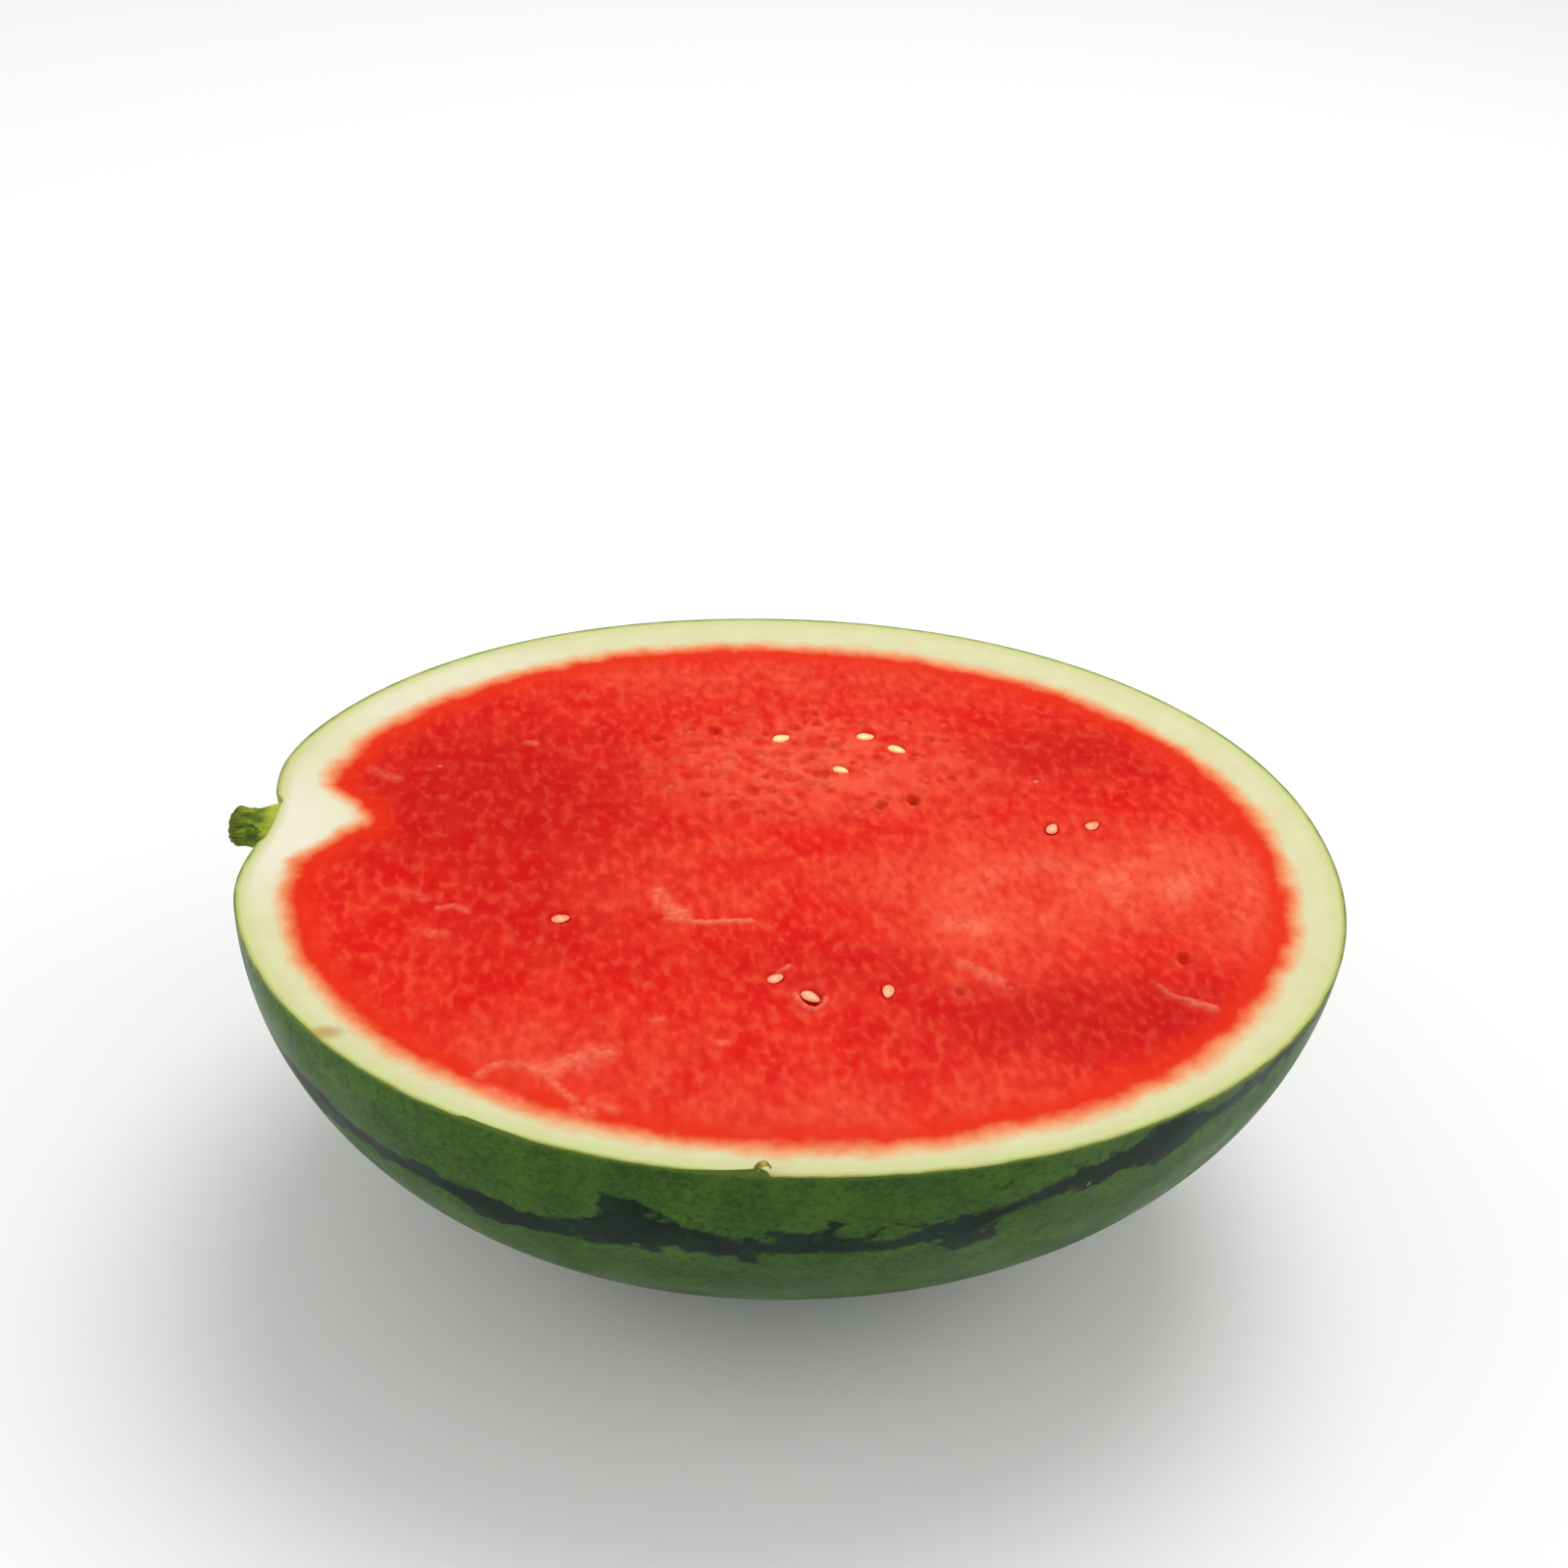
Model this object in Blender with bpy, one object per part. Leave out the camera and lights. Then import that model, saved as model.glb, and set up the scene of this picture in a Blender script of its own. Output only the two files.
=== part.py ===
"""A watermelon cut in half lengthwise, resting on a small flat spot of its rind with the cut face up.

X runs along the melon from the stalk (-X) to the blossom end (+X), Y runs across it and Z points up.
Every piece is modelled around the centre of the cut face. The empty "rest_point" then carries them all,
so that the origin is on the ground, under the middle of the whole object. Lengths are in metres.
"""

import math

import bmesh
import bpy
from mathutils import Matrix, Vector

# The melon half
HALF_LENGTH = 0.150
HALF_WIDTH = 0.118
DEPTH = 0.118
FULLNESS = 2.08  # 2 is a true oval, more is a little squarer at the shoulders
FLAT_SPOT_DEPTH = 0.0012
BANDS_ALONG = 44
BANDS_AROUND = 30

# The hollow that the stalk stands in, and the level seat at its bottom
STALK_SIDE = 0.019  # how far the stalk grows off the long axis, towards +Y
STALK_DROP = 0.004  # how far its middle lies below the cut
STALK_TURN = math.radians(14)
HOLLOW_DEPTH = 0.0075
HOLLOW_RADIUS = 0.020
SEAT_DEPTH = 0.0005
SEAT_MARGIN = 0.0006

# The stalk stub
STALK_LENGTH = 0.0115
STALK_BASE_RADIUS = 0.0078
STALK_WAIST_RADIUS = 0.0052
STALK_END_RADIUS = 0.0040
STALK_FLARE = 0.28  # the share of its length over which the base narrows
STALK_WAIST = 0.55
STALK_ROUNDING = 0.08  # the share of its length that rounds off at either end
STALK_RIDGES = 5
STALK_RIDGE_HEIGHT = 0.0005
STALK_SIDES = 20

# The seeds
SEED_LENGTH = 0.0056
SEED_WIDTH = 0.0046
SEED_THICKNESS = 0.0022
SEED_POINT = 0.30  # how much narrower the pointed end gets
SEED_SINK = 0.0005  # how far a seed's middle lies below the cut face
SEED_SEGMENTS = 12
SEED_RINGS = 7

# Each seed's place as shares of the half length and half width, its turn in degrees and its share of full size
SEEDS = (
    (0.01, 0.465, 20, 1.00),
    (0.175, 0.468, 5, 1.00),
    (0.231, 0.413, -28, 1.00),
    (0.112, 0.331, -25, 0.86),
    (0.486, 0.093, 60, 0.90),
    (0.565, 0.103, 35, 0.90),
    (-0.438, -0.203, 15, 0.90),
    (-0.083, -0.414, 30, 0.86),
    (-0.029, -0.476, -40, 1.00),
    (0.105, -0.464, 75, 0.90),
)

STALK_GAP = 0.0003  # between the stalk and its seat
POCKET_GAP = 0.00045  # between a seed's thick part and its pocket; it narrows with the seed towards the point


def clear_scene():
    for obj in list(bpy.data.objects):
        bpy.data.objects.remove(obj, do_unlink=True)


def material(name, color, roughness):
    made = bpy.data.materials.new(name)
    made.use_nodes = True
    shader = made.node_tree.nodes["Principled BSDF"]
    shader.inputs["Base Color"].default_value = (*color, 1.0)
    shader.inputs["Roughness"].default_value = roughness
    shader.inputs["Metallic"].default_value = 0.0
    return made


def finish(shape, name, parent, surface=None):
    """Turns a bmesh into an object whose faces point out, under the empty that carries the melon."""
    bmesh.ops.recalc_face_normals(shape, faces=shape.faces)
    mesh = bpy.data.meshes.new(name)
    shape.to_mesh(mesh)
    shape.free()
    mesh.shade_smooth()
    mesh.set_sharp_from_angle(angle=math.radians(40))
    if surface:
        mesh.materials.append(surface)
    obj = bpy.data.objects.new(name, mesh)
    bpy.context.scene.collection.objects.link(obj)
    obj.parent = parent
    return obj


def oval_height(share):
    """How wide the oval still is, as a share of its middle, at this share of its half length."""
    return (1 - abs(share) ** FULLNESS) ** (1 / FULLNESS)


def hollow(y, z):
    """How far the hollow at the stalk pushes the rind in at this place across the end."""
    away = (y - STALK_SIDE) ** 2 + (z + STALK_DROP) ** 2
    return HOLLOW_DEPTH * math.exp(-away / HOLLOW_RADIUS**2)


def stalk_frame():
    """Where the middle of the stalk's seat is, with its local +Z along the stalk, away from the melon."""
    y = STALK_SIDE
    z = -STALK_DROP
    off_axis = math.hypot(y / HALF_WIDTH, z / DEPTH)
    x = -HALF_LENGTH * oval_height(off_axis) + hollow(y, z)
    out = Vector((-math.cos(STALK_TURN), math.sin(STALK_TURN), 0))
    middle = Vector((x, y, z)) - out * SEAT_DEPTH
    return Matrix.Translation(middle) @ out.to_track_quat("Z", "Y").to_matrix().to_4x4()


def melon_shape():
    """The lower half of an oval: a half outline turned half a turn about the long axis, then closed on top."""
    shape = bmesh.new()
    outline = []
    for step in range(BANDS_ALONG + 1):
        turn = math.pi * step / BANDS_ALONG
        along = -math.copysign(abs(math.cos(turn)) ** (2 / FULLNESS), math.cos(turn))
        across = math.sin(turn) ** (2 / FULLNESS) if 0 < step < BANDS_ALONG else 0.0
        outline.append(shape.verts.new((HALF_LENGTH * along, -HALF_WIDTH * across, 0)))
    for before, after in zip(outline, outline[1:]):
        shape.edges.new((before, after))
    bmesh.ops.spin(
        shape,
        geom=shape.verts[:] + shape.edges[:],
        cent=(0, 0, 0),
        axis=(1, 0, 0),
        angle=math.pi,
        steps=BANDS_AROUND,
    )
    bmesh.ops.remove_doubles(shape, verts=shape.verts, dist=0.00001)
    if min(vert.co.z for vert in shape.verts) > -HALF_WIDTH / 2:
        bmesh.ops.scale(shape, vec=(1, 1, -1), verts=shape.verts)
    bmesh.ops.scale(shape, vec=(1, 1, DEPTH / HALF_WIDTH), verts=shape.verts)
    for vert in shape.verts:
        if vert.co.x < 0:
            vert.co.x += hollow(vert.co.y, vert.co.z)
        if abs(vert.co.z) < 0.00001:
            vert.co.z = 0.0
    rim = [edge for edge in shape.edges if edge.is_boundary]
    bmesh.ops.contextual_create(shape, geom=rim)
    cut = bmesh.ops.bisect_plane(
        shape,
        geom=shape.verts[:] + shape.edges[:] + shape.faces[:],
        plane_co=(0, 0, FLAT_SPOT_DEPTH - DEPTH),
        plane_no=(0, 0, -1),
        clear_outer=True,
    )
    foot = [piece for piece in cut["geom_cut"] if isinstance(piece, bmesh.types.BMEdge)]
    bmesh.ops.contextual_create(shape, geom=foot)
    return shape


def seed_shape(length, width, thickness):
    """A flat egg: a ball drawn out along X and narrowed towards its +X end."""
    shape = bmesh.new()
    bmesh.ops.create_uvsphere(
        shape, u_segments=SEED_SEGMENTS, v_segments=SEED_RINGS, radius=1.0
    )
    for vert in shape.verts:
        narrow = 1 - SEED_POINT * (vert.co.x + 1) / 2
        vert.co.y *= narrow
        vert.co.z *= narrow
    bmesh.ops.scale(shape, vec=(length / 2, width / 2, thickness / 2), verts=shape.verts)
    return shape


def seed_place(along, across, turn):
    middle = Vector((along * HALF_LENGTH, across * HALF_WIDTH, -SEED_SINK))
    return Matrix.Translation(middle) @ Matrix.Rotation(math.radians(turn), 4, "Z")


def pocket_cutter(parent):
    """One mesh with a roomier copy of every seed, which opens the pockets in the cut face."""
    everything = bmesh.new()
    for along, across, turn, size in SEEDS:
        pocket = seed_shape(
            SEED_LENGTH * size + 2 * POCKET_GAP,
            SEED_WIDTH * size + 2 * POCKET_GAP,
            SEED_THICKNESS * size + 2 * POCKET_GAP,
        )
        pocket.transform(seed_place(along, across, turn))
        step = bpy.data.meshes.new("pocket")
        pocket.to_mesh(step)
        pocket.free()
        everything.from_mesh(step)
        bpy.data.meshes.remove(step)
    return cutter(everything, "pocket_cutter", parent)


def seat_cutter(parent):
    """A drum that levels the rind where the stalk stands."""
    shape = bmesh.new()
    radius = STALK_BASE_RADIUS + STALK_RIDGE_HEIGHT + SEAT_MARGIN
    height = 2 * STALK_LENGTH
    bmesh.ops.create_cone(
        shape,
        cap_ends=True,
        segments=2 * STALK_SIDES,
        radius1=radius,
        radius2=radius,
        depth=height,
        matrix=stalk_frame() @ Matrix.Translation((0, 0, height / 2)),
    )
    return cutter(shape, "seat_cutter", parent)


def cutter(shape, name, parent):
    obj = finish(shape, name, parent)
    obj.hide_render = True
    obj.display_type = "WIRE"
    return obj


def cut_away(obj, tool):
    boolean = obj.modifiers.new(tool.name, "BOOLEAN")
    boolean.operation = "DIFFERENCE"
    boolean.solver = "EXACT"
    boolean.object = tool


def stalk_ring(shape, radius, height):
    """One ridged ring of the stalk, as a loop of vertices and edges at this height above the seat."""
    made = bmesh.ops.create_circle(shape, segments=STALK_SIDES, radius=1.0)
    for vert in made["verts"]:
        turn = math.atan2(vert.co.y, vert.co.x)
        ridged = radius + STALK_RIDGE_HEIGHT * math.cos(STALK_RIDGES * turn)
        vert.co = Vector((ridged * math.cos(turn), ridged * math.sin(turn), height))
    return list({edge for vert in made["verts"] for edge in vert.link_edges})


def stalk_shape():
    """Ridged rings from the flared base to the broken end, bridged, closed and shaved level with the cut."""
    shape = bmesh.new()
    flare_radius = (STALK_WAIST_RADIUS + STALK_BASE_RADIUS) / 2
    stations = (
        (STALK_BASE_RADIUS, 0),
        (STALK_BASE_RADIUS, STALK_ROUNDING),
        (flare_radius, STALK_FLARE),
        (STALK_WAIST_RADIUS, STALK_WAIST),
        (STALK_END_RADIUS, 1 - STALK_ROUNDING),
        (STALK_END_RADIUS - STALK_RIDGE_HEIGHT, 1),
    )
    rings = [stalk_ring(shape, radius, STALK_GAP + share * STALK_LENGTH) for radius, share in stations]
    for lower, upper in zip(rings, rings[1:]):
        bmesh.ops.bridge_loops(shape, edges=lower + upper)
    bmesh.ops.contextual_create(shape, geom=rings[0])
    bmesh.ops.contextual_create(shape, geom=rings[-1])
    bmesh.ops.recalc_face_normals(shape, faces=shape.faces)
    shape.transform(stalk_frame())
    cut = bmesh.ops.bisect_plane(
        shape,
        geom=shape.verts[:] + shape.edges[:] + shape.faces[:],
        plane_co=(0, 0, 0),
        plane_no=(0, 0, 1),
        clear_outer=True,
    )
    edges = [piece for piece in cut["geom_cut"] if isinstance(piece, bmesh.types.BMEdge)]
    if edges:
        bmesh.ops.contextual_create(shape, geom=edges)
    return shape


def put_origin_under_the_middle(rest_point, pieces):
    """Moves the carrying empty so that the origin is at the bottom centre of the pieces' common box."""
    bpy.context.view_layer.update()
    graph = bpy.context.evaluated_depsgraph_get()
    corners = []
    for obj in pieces:
        mesh = obj.evaluated_get(graph).to_mesh()
        corners.extend(obj.matrix_world @ vert.co for vert in mesh.vertices)
        obj.evaluated_get(graph).to_mesh_clear()
    low = Vector(min(corner[axis] for corner in corners) for axis in range(3))
    high = Vector(max(corner[axis] for corner in corners) for axis in range(3))
    rest_point.location = (-(low.x + high.x) / 2, -(low.y + high.y) / 2, -low.z)


def main():
    clear_scene()
    rest_point = bpy.data.objects.new("rest_point", None)
    bpy.context.scene.collection.objects.link(rest_point)

    flesh = material("melon_flesh_and_rind", (0.72, 0.04, 0.02), 0.35)
    melon = finish(melon_shape(), "melon_half", rest_point, flesh)
    cut_away(melon, pocket_cutter(rest_point))
    cut_away(melon, seat_cutter(rest_point))
    pieces = [melon]

    stalk_green = material("stalk_green", (0.10, 0.16, 0.02), 0.7)
    pieces.append(finish(stalk_shape(), "stem_stub", rest_point, stalk_green))

    for number, (along, across, turn, size) in enumerate(SEEDS, start=1):
        pale = material(f"seed_{number}_cream", (0.85, 0.68, 0.38), 0.4)
        shape = seed_shape(SEED_LENGTH * size, SEED_WIDTH * size, SEED_THICKNESS * size)
        seed = finish(shape, f"seed_{number}", rest_point, pale)
        seed.matrix_local = seed_place(along, across, turn)
        pieces.append(seed)

    put_origin_under_the_middle(rest_point, pieces)


main()
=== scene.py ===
# %% [markdown]
# # Half a watermelon
# This lesson dresses a plain, measured melon half in its real looks: moist red flesh with open seed
# pockets, a cream rind, a striped waxy skin, pale seeds and a stub of stalk. The measured solids come in
# first as a fixed frame. Everything made here is placed from them, so nothing has to be fitted later.

import math
import random

import bmesh
import bpy
import numpy as np
from mathutils import Matrix, Vector, noise


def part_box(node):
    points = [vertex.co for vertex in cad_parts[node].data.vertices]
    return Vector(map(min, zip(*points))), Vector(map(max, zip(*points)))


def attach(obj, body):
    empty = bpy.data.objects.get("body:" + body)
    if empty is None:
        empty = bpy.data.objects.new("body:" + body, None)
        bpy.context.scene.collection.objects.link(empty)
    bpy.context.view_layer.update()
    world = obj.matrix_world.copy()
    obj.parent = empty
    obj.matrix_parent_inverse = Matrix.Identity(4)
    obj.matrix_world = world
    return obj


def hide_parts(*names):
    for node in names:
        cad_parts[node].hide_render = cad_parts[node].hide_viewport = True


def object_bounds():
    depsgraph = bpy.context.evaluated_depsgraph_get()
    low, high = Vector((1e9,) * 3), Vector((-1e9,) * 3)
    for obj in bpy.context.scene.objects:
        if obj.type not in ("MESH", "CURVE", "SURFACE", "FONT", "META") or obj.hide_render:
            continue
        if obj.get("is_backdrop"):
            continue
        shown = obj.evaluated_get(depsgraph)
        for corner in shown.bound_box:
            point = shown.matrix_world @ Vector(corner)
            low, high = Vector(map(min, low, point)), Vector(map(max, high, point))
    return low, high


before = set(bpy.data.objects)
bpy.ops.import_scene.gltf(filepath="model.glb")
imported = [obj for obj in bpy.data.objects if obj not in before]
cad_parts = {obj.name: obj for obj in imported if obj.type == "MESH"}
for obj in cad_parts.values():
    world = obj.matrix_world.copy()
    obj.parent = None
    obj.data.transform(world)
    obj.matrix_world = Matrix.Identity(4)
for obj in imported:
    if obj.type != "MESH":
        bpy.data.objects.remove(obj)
CAD_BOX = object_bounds()
print("measured solids:", ", ".join(sorted(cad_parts)))

# %% [markdown]
# The melon's own measures are read off its solid. Its top is the knife's cut, and its underside is pressed
# flat where it rests, so the true oval reaches a little lower than the solid does. The stalk's hollow takes
# the oval's end away, so the half length is given here. A melon is as deep as it is wide. All shapes below
# are worked out around the middle of the cut face and moved into place at the end.

# %% The melon's measures
MELON_LOW, MELON_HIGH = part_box("melon_half")
HALF_LENGTH = 0.150
HALF_WIDTH = (MELON_HIGH.y - MELON_LOW.y) / 2
DEPTH = HALF_WIDTH
FULLNESS = 2.08  # 2 is a true oval, more is a little squarer at the shoulders
FLAT_SPOT = DEPTH - (MELON_HIGH.z - MELON_LOW.z)
MIDDLE = Vector((MELON_HIGH.x - HALF_LENGTH, (MELON_LOW.y + MELON_HIGH.y) / 2, MELON_HIGH.z))
print(f"cut face {2000 * HALF_LENGTH:.0f} x {2000 * HALF_WIDTH:.0f} mm")
print(f"flat spot {1000 * FLAT_SPOT:.1f} mm deep")

# %% [markdown]
# The camera and the studio come first, so that every later step can be looked at. A camera can be moved by
# hand until the view looks right, but a distance and three angles say the same and can be checked. It
# stands 0.6 m from the middle of the cut face and looks down on it at 38 degrees, a little from the stalk
# side, with its head tilted slightly. The lens is a normal one, and a small shift frames the melon.

# %% The camera
CAMERA_DISTANCE = 0.60
CAMERA_HEIGHT = math.radians(38.4)
CAMERA_SIDE = math.radians(-11.05)
CAMERA_ROLL = math.radians(6.1)
LENS = 50.8
SENSOR = 36
SHIFT = (-0.0103, 0.0456)


def make_camera():
    back = Vector(
        (
            math.sin(CAMERA_SIDE) * math.cos(CAMERA_HEIGHT),
            -math.cos(CAMERA_SIDE) * math.cos(CAMERA_HEIGHT),
            math.sin(CAMERA_HEIGHT),
        )
    )
    right = Vector((0, 0, 1)).cross(back).normalized()
    up = back.cross(right)
    turned = Matrix((right, up, back)).transposed() @ Matrix.Rotation(CAMERA_ROLL, 3, "Z")
    lens = bpy.data.cameras.new("camera")
    lens.lens = LENS
    lens.sensor_width = SENSOR
    lens.shift_x, lens.shift_y = SHIFT
    camera = bpy.data.objects.new("camera", lens)
    camera.matrix_world = Matrix.Translation(MIDDLE + back * CAMERA_DISTANCE) @ turned.to_4x4()
    bpy.context.scene.collection.objects.link(camera)
    bpy.context.scene.camera = camera
    print("camera at", [round(value, 3) for value in camera.matrix_world.translation])


make_camera()

# %% [markdown]
# The studio is plain: a pale floor under an even white sky. A curved backdrop would hide the horizon too,
# but a floor that is far wider than the melon does the same from every side.

# %% The floor and the sky
SKY_STRENGTH = 0.66
FLOOR_SIZE = 24.0
FLOOR_COLOR = (0.88, 0.88, 0.87)
FLOOR_ROUGHNESS = 0.8


def plain_material(name, color, roughness):
    made = bpy.data.materials.new(name)
    made.use_nodes = True
    shader = made.node_tree.nodes["Principled BSDF"]
    shader.inputs["Base Color"].default_value = (*color, 1.0)
    shader.inputs["Roughness"].default_value = roughness
    return made


def make_sky():
    world = bpy.data.worlds.new("studio")
    world.use_nodes = True
    sky = world.node_tree.nodes["Background"]
    sky.inputs["Color"].default_value = (1.0, 1.0, 1.0, 1.0)
    sky.inputs["Strength"].default_value = SKY_STRENGTH
    bpy.context.scene.world = world


def make_floor():
    shape = bmesh.new()
    bmesh.ops.create_grid(shape, x_segments=1, y_segments=1, size=FLOOR_SIZE / 2)
    mesh = bpy.data.meshes.new("floor")
    shape.to_mesh(mesh)
    shape.free()
    mesh.materials.append(plain_material("floor_pale", FLOOR_COLOR, FLOOR_ROUGHNESS))
    floor = bpy.data.objects.new("floor", mesh)
    bpy.context.scene.collection.objects.link(floor)
    floor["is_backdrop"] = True
    print("floor", [round(side, 1) for side in floor.dimensions], "m")


make_sky()
make_floor()

# %% [markdown]
# Three large soft lamps light the melon. Small lamps would be simpler, but they leave hard spots on moist
# flesh, and large ones close to the fruit give broad, gentle highlights. The main lamp hangs above and
# behind, so that the pits and seeds in the cut face throw short shadows towards the viewer, and a lamp at
# each side picks out the melon's ends. The plain view transform keeps the colours as they are mixed.

# %% The lamps
LAMPS = (
    # name, place from the middle of the cut face, width and power
    ("main_lamp", (0.30, 0.60, 1.60), 1.1, 15.0),
    ("left_lamp", (-1.30, -0.10, 0.75), 1.0, 4.0),
    ("right_lamp", (1.30, -0.10, 0.75), 1.0, 4.0),
)


def make_lamp(name, place, width, power):
    light = bpy.data.lights.new(name, "AREA")
    light.shape = "DISK"
    light.size = width
    light.energy = power
    lamp = bpy.data.objects.new(name, light)
    lamp.location = MIDDLE + Vector(place)
    lamp.rotation_euler = (-Vector(place)).to_track_quat("-Z", "Y").to_euler()
    bpy.context.scene.collection.objects.link(lamp)
    print(f"{name}: {Vector(place).length:.2f} m away, {power:.0f} W")


for name, place, width, power in LAMPS:
    make_lamp(name, place, width, power)
bpy.context.scene.view_settings.view_transform = "Standard"

# %% [markdown]
# ## The seeds' places
# Each pale seed lies bare in its own pocket. A list of places and turns could be typed in, but it would go
# wrong when a seed moves. So both are read from the measured solid: the middle of its box, the direction in
# which its points spread most, and which of its two ends is narrower.

# %% Read each seed's place and turn
SEED_NAMES = sorted(
    (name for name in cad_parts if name.startswith("seed_")), key=lambda name: int(name[5:])
)


def read_seed(name):
    low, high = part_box(name)
    points = np.array([vert.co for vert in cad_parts[name].data.vertices])
    centred = points - points.mean(axis=0)
    _, directions = np.linalg.eigh(centred[:, :2].T @ centred[:, :2])
    long_way = directions[:, 1]
    along = centred[:, :2] @ long_way
    across = np.abs(centred[:, :2] @ directions[:, 0])
    if across[along > 0].mean() > across[along < 0].mean():
        long_way = -long_way
    return {
        "name": name,
        "middle": (low + high) / 2 - MIDDLE,
        "turn": math.atan2(long_way[1], long_way[0]),
        "length": float(np.ptp(along)),
        "width": 2 * float(across.max()),
        "thickness": high.z - low.z,
    }


SEEDS = [read_seed(name) for name in SEED_NAMES]
for seed in SEEDS:
    length, turn = 1000 * seed["length"], math.degrees(seed["turn"])
    print(seed["name"], f"{length:.1f} mm long, turned {turn:.0f} degrees")

# %% [markdown]
# ## Marks in the cut face
# A knife never leaves melon flesh smooth. Around the seeds lie dozens of small pits where seeds fell out
# or show through. Further out are a torn flake, a few curled shreds and pale fibres. Noise alone gives the
# flesh some life, but the marks that the eye finds first have to lie in the right places. So each of these
# is a short entry: its place in metres from the middle of the cut, its size, and how deep or pale it is.

# %% List the clear pits
# x, y, radius, depth, how much painted shade darkens the bottom, and how much of a pale seed shows there
PITS = [
    (0.0355, 0.0240, 0.0023, 0.0026, 0.9, 0.0),
    (0.0255, 0.0215, 0.0020, 0.0020, 0.7, 0.0),
    (0.0510, 0.0175, 0.0034, 0.0008, 0.3, 0.0),
    (-0.0040, -0.0575, 0.0044, 0.0009, 0.2, 0.0),
    (-0.0180, 0.0580, 0.0024, 0.0011, 0.6, 0.0),
    (-0.0240, 0.0515, 0.0027, 0.0008, 0.4, 0.0),
    (-0.0230, 0.0280, 0.0019, 0.0009, 0.5, 0.0),
    (-0.0100, 0.0295, 0.0026, 0.0008, 0.4, 0.0),
    (-0.0045, 0.0295, 0.0020, 0.0007, 0.4, 0.0),
    (-0.0005, 0.0240, 0.0018, 0.0008, 0.5, 0.0),
    (-0.0345, 0.0545, 0.0020, 0.0007, 0.4, 0.0),
    (0.0025, 0.0355, 0.0024, 0.0009, 0.4, 0.0),
    (0.0165, 0.0500, 0.0026, 0.0010, 0.5, 0.0),
    (0.0085, 0.0455, 0.0024, 0.0010, 0.4, 0.0),
    (0.0960, -0.0455, 0.0026, 0.0016, 0.7, 0.0),
    (0.0125, 0.0600, 0.0020, 0.0009, 0.2, 0.8),
    (-0.0095, 0.0550, 0.0020, 0.0009, 0.3, 0.7),
    (-0.0145, 0.0445, 0.0021, 0.0010, 0.3, 0.6),
    (-0.0055, 0.0465, 0.0022, 0.0010, 0.3, 0.7),
    (0.0105, 0.0360, 0.0025, 0.0013, 0.6, 0.7),
    (-0.0170, 0.0375, 0.0024, 0.0008, 0.4, 0.2),
    (0.0395, 0.0625, 0.0019, 0.0008, 0.2, 0.6),
    (0.0510, 0.0620, 0.0019, 0.0008, 0.2, 0.6),
    (0.0730, 0.0335, 0.0017, 0.0006, 0.2, 1.0),
    (-0.0965, 0.0425, 0.0014, 0.0003, 0.0, 1.0),
    (-0.1000, 0.0365, 0.0010, 0.0002, 0.0, 0.5),
    (0.0475, -0.0545, 0.0016, 0.0007, 0.2, 0.7),
    (0.0340, -0.0560, 0.0018, 0.0011, 0.6, 0.0),
    (0.1035, -0.0325, 0.0012, 0.0004, 0.1, 0.5),
]
print(len(PITS), "clear pits")

# %% [markdown]
# A torn mark is a line of loosened fibres. A pit's round entry can't hold its shape, and a drawn curve for
# each would take far more numbers. Two to four points, joined by straight lines, are enough at this size.

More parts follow.
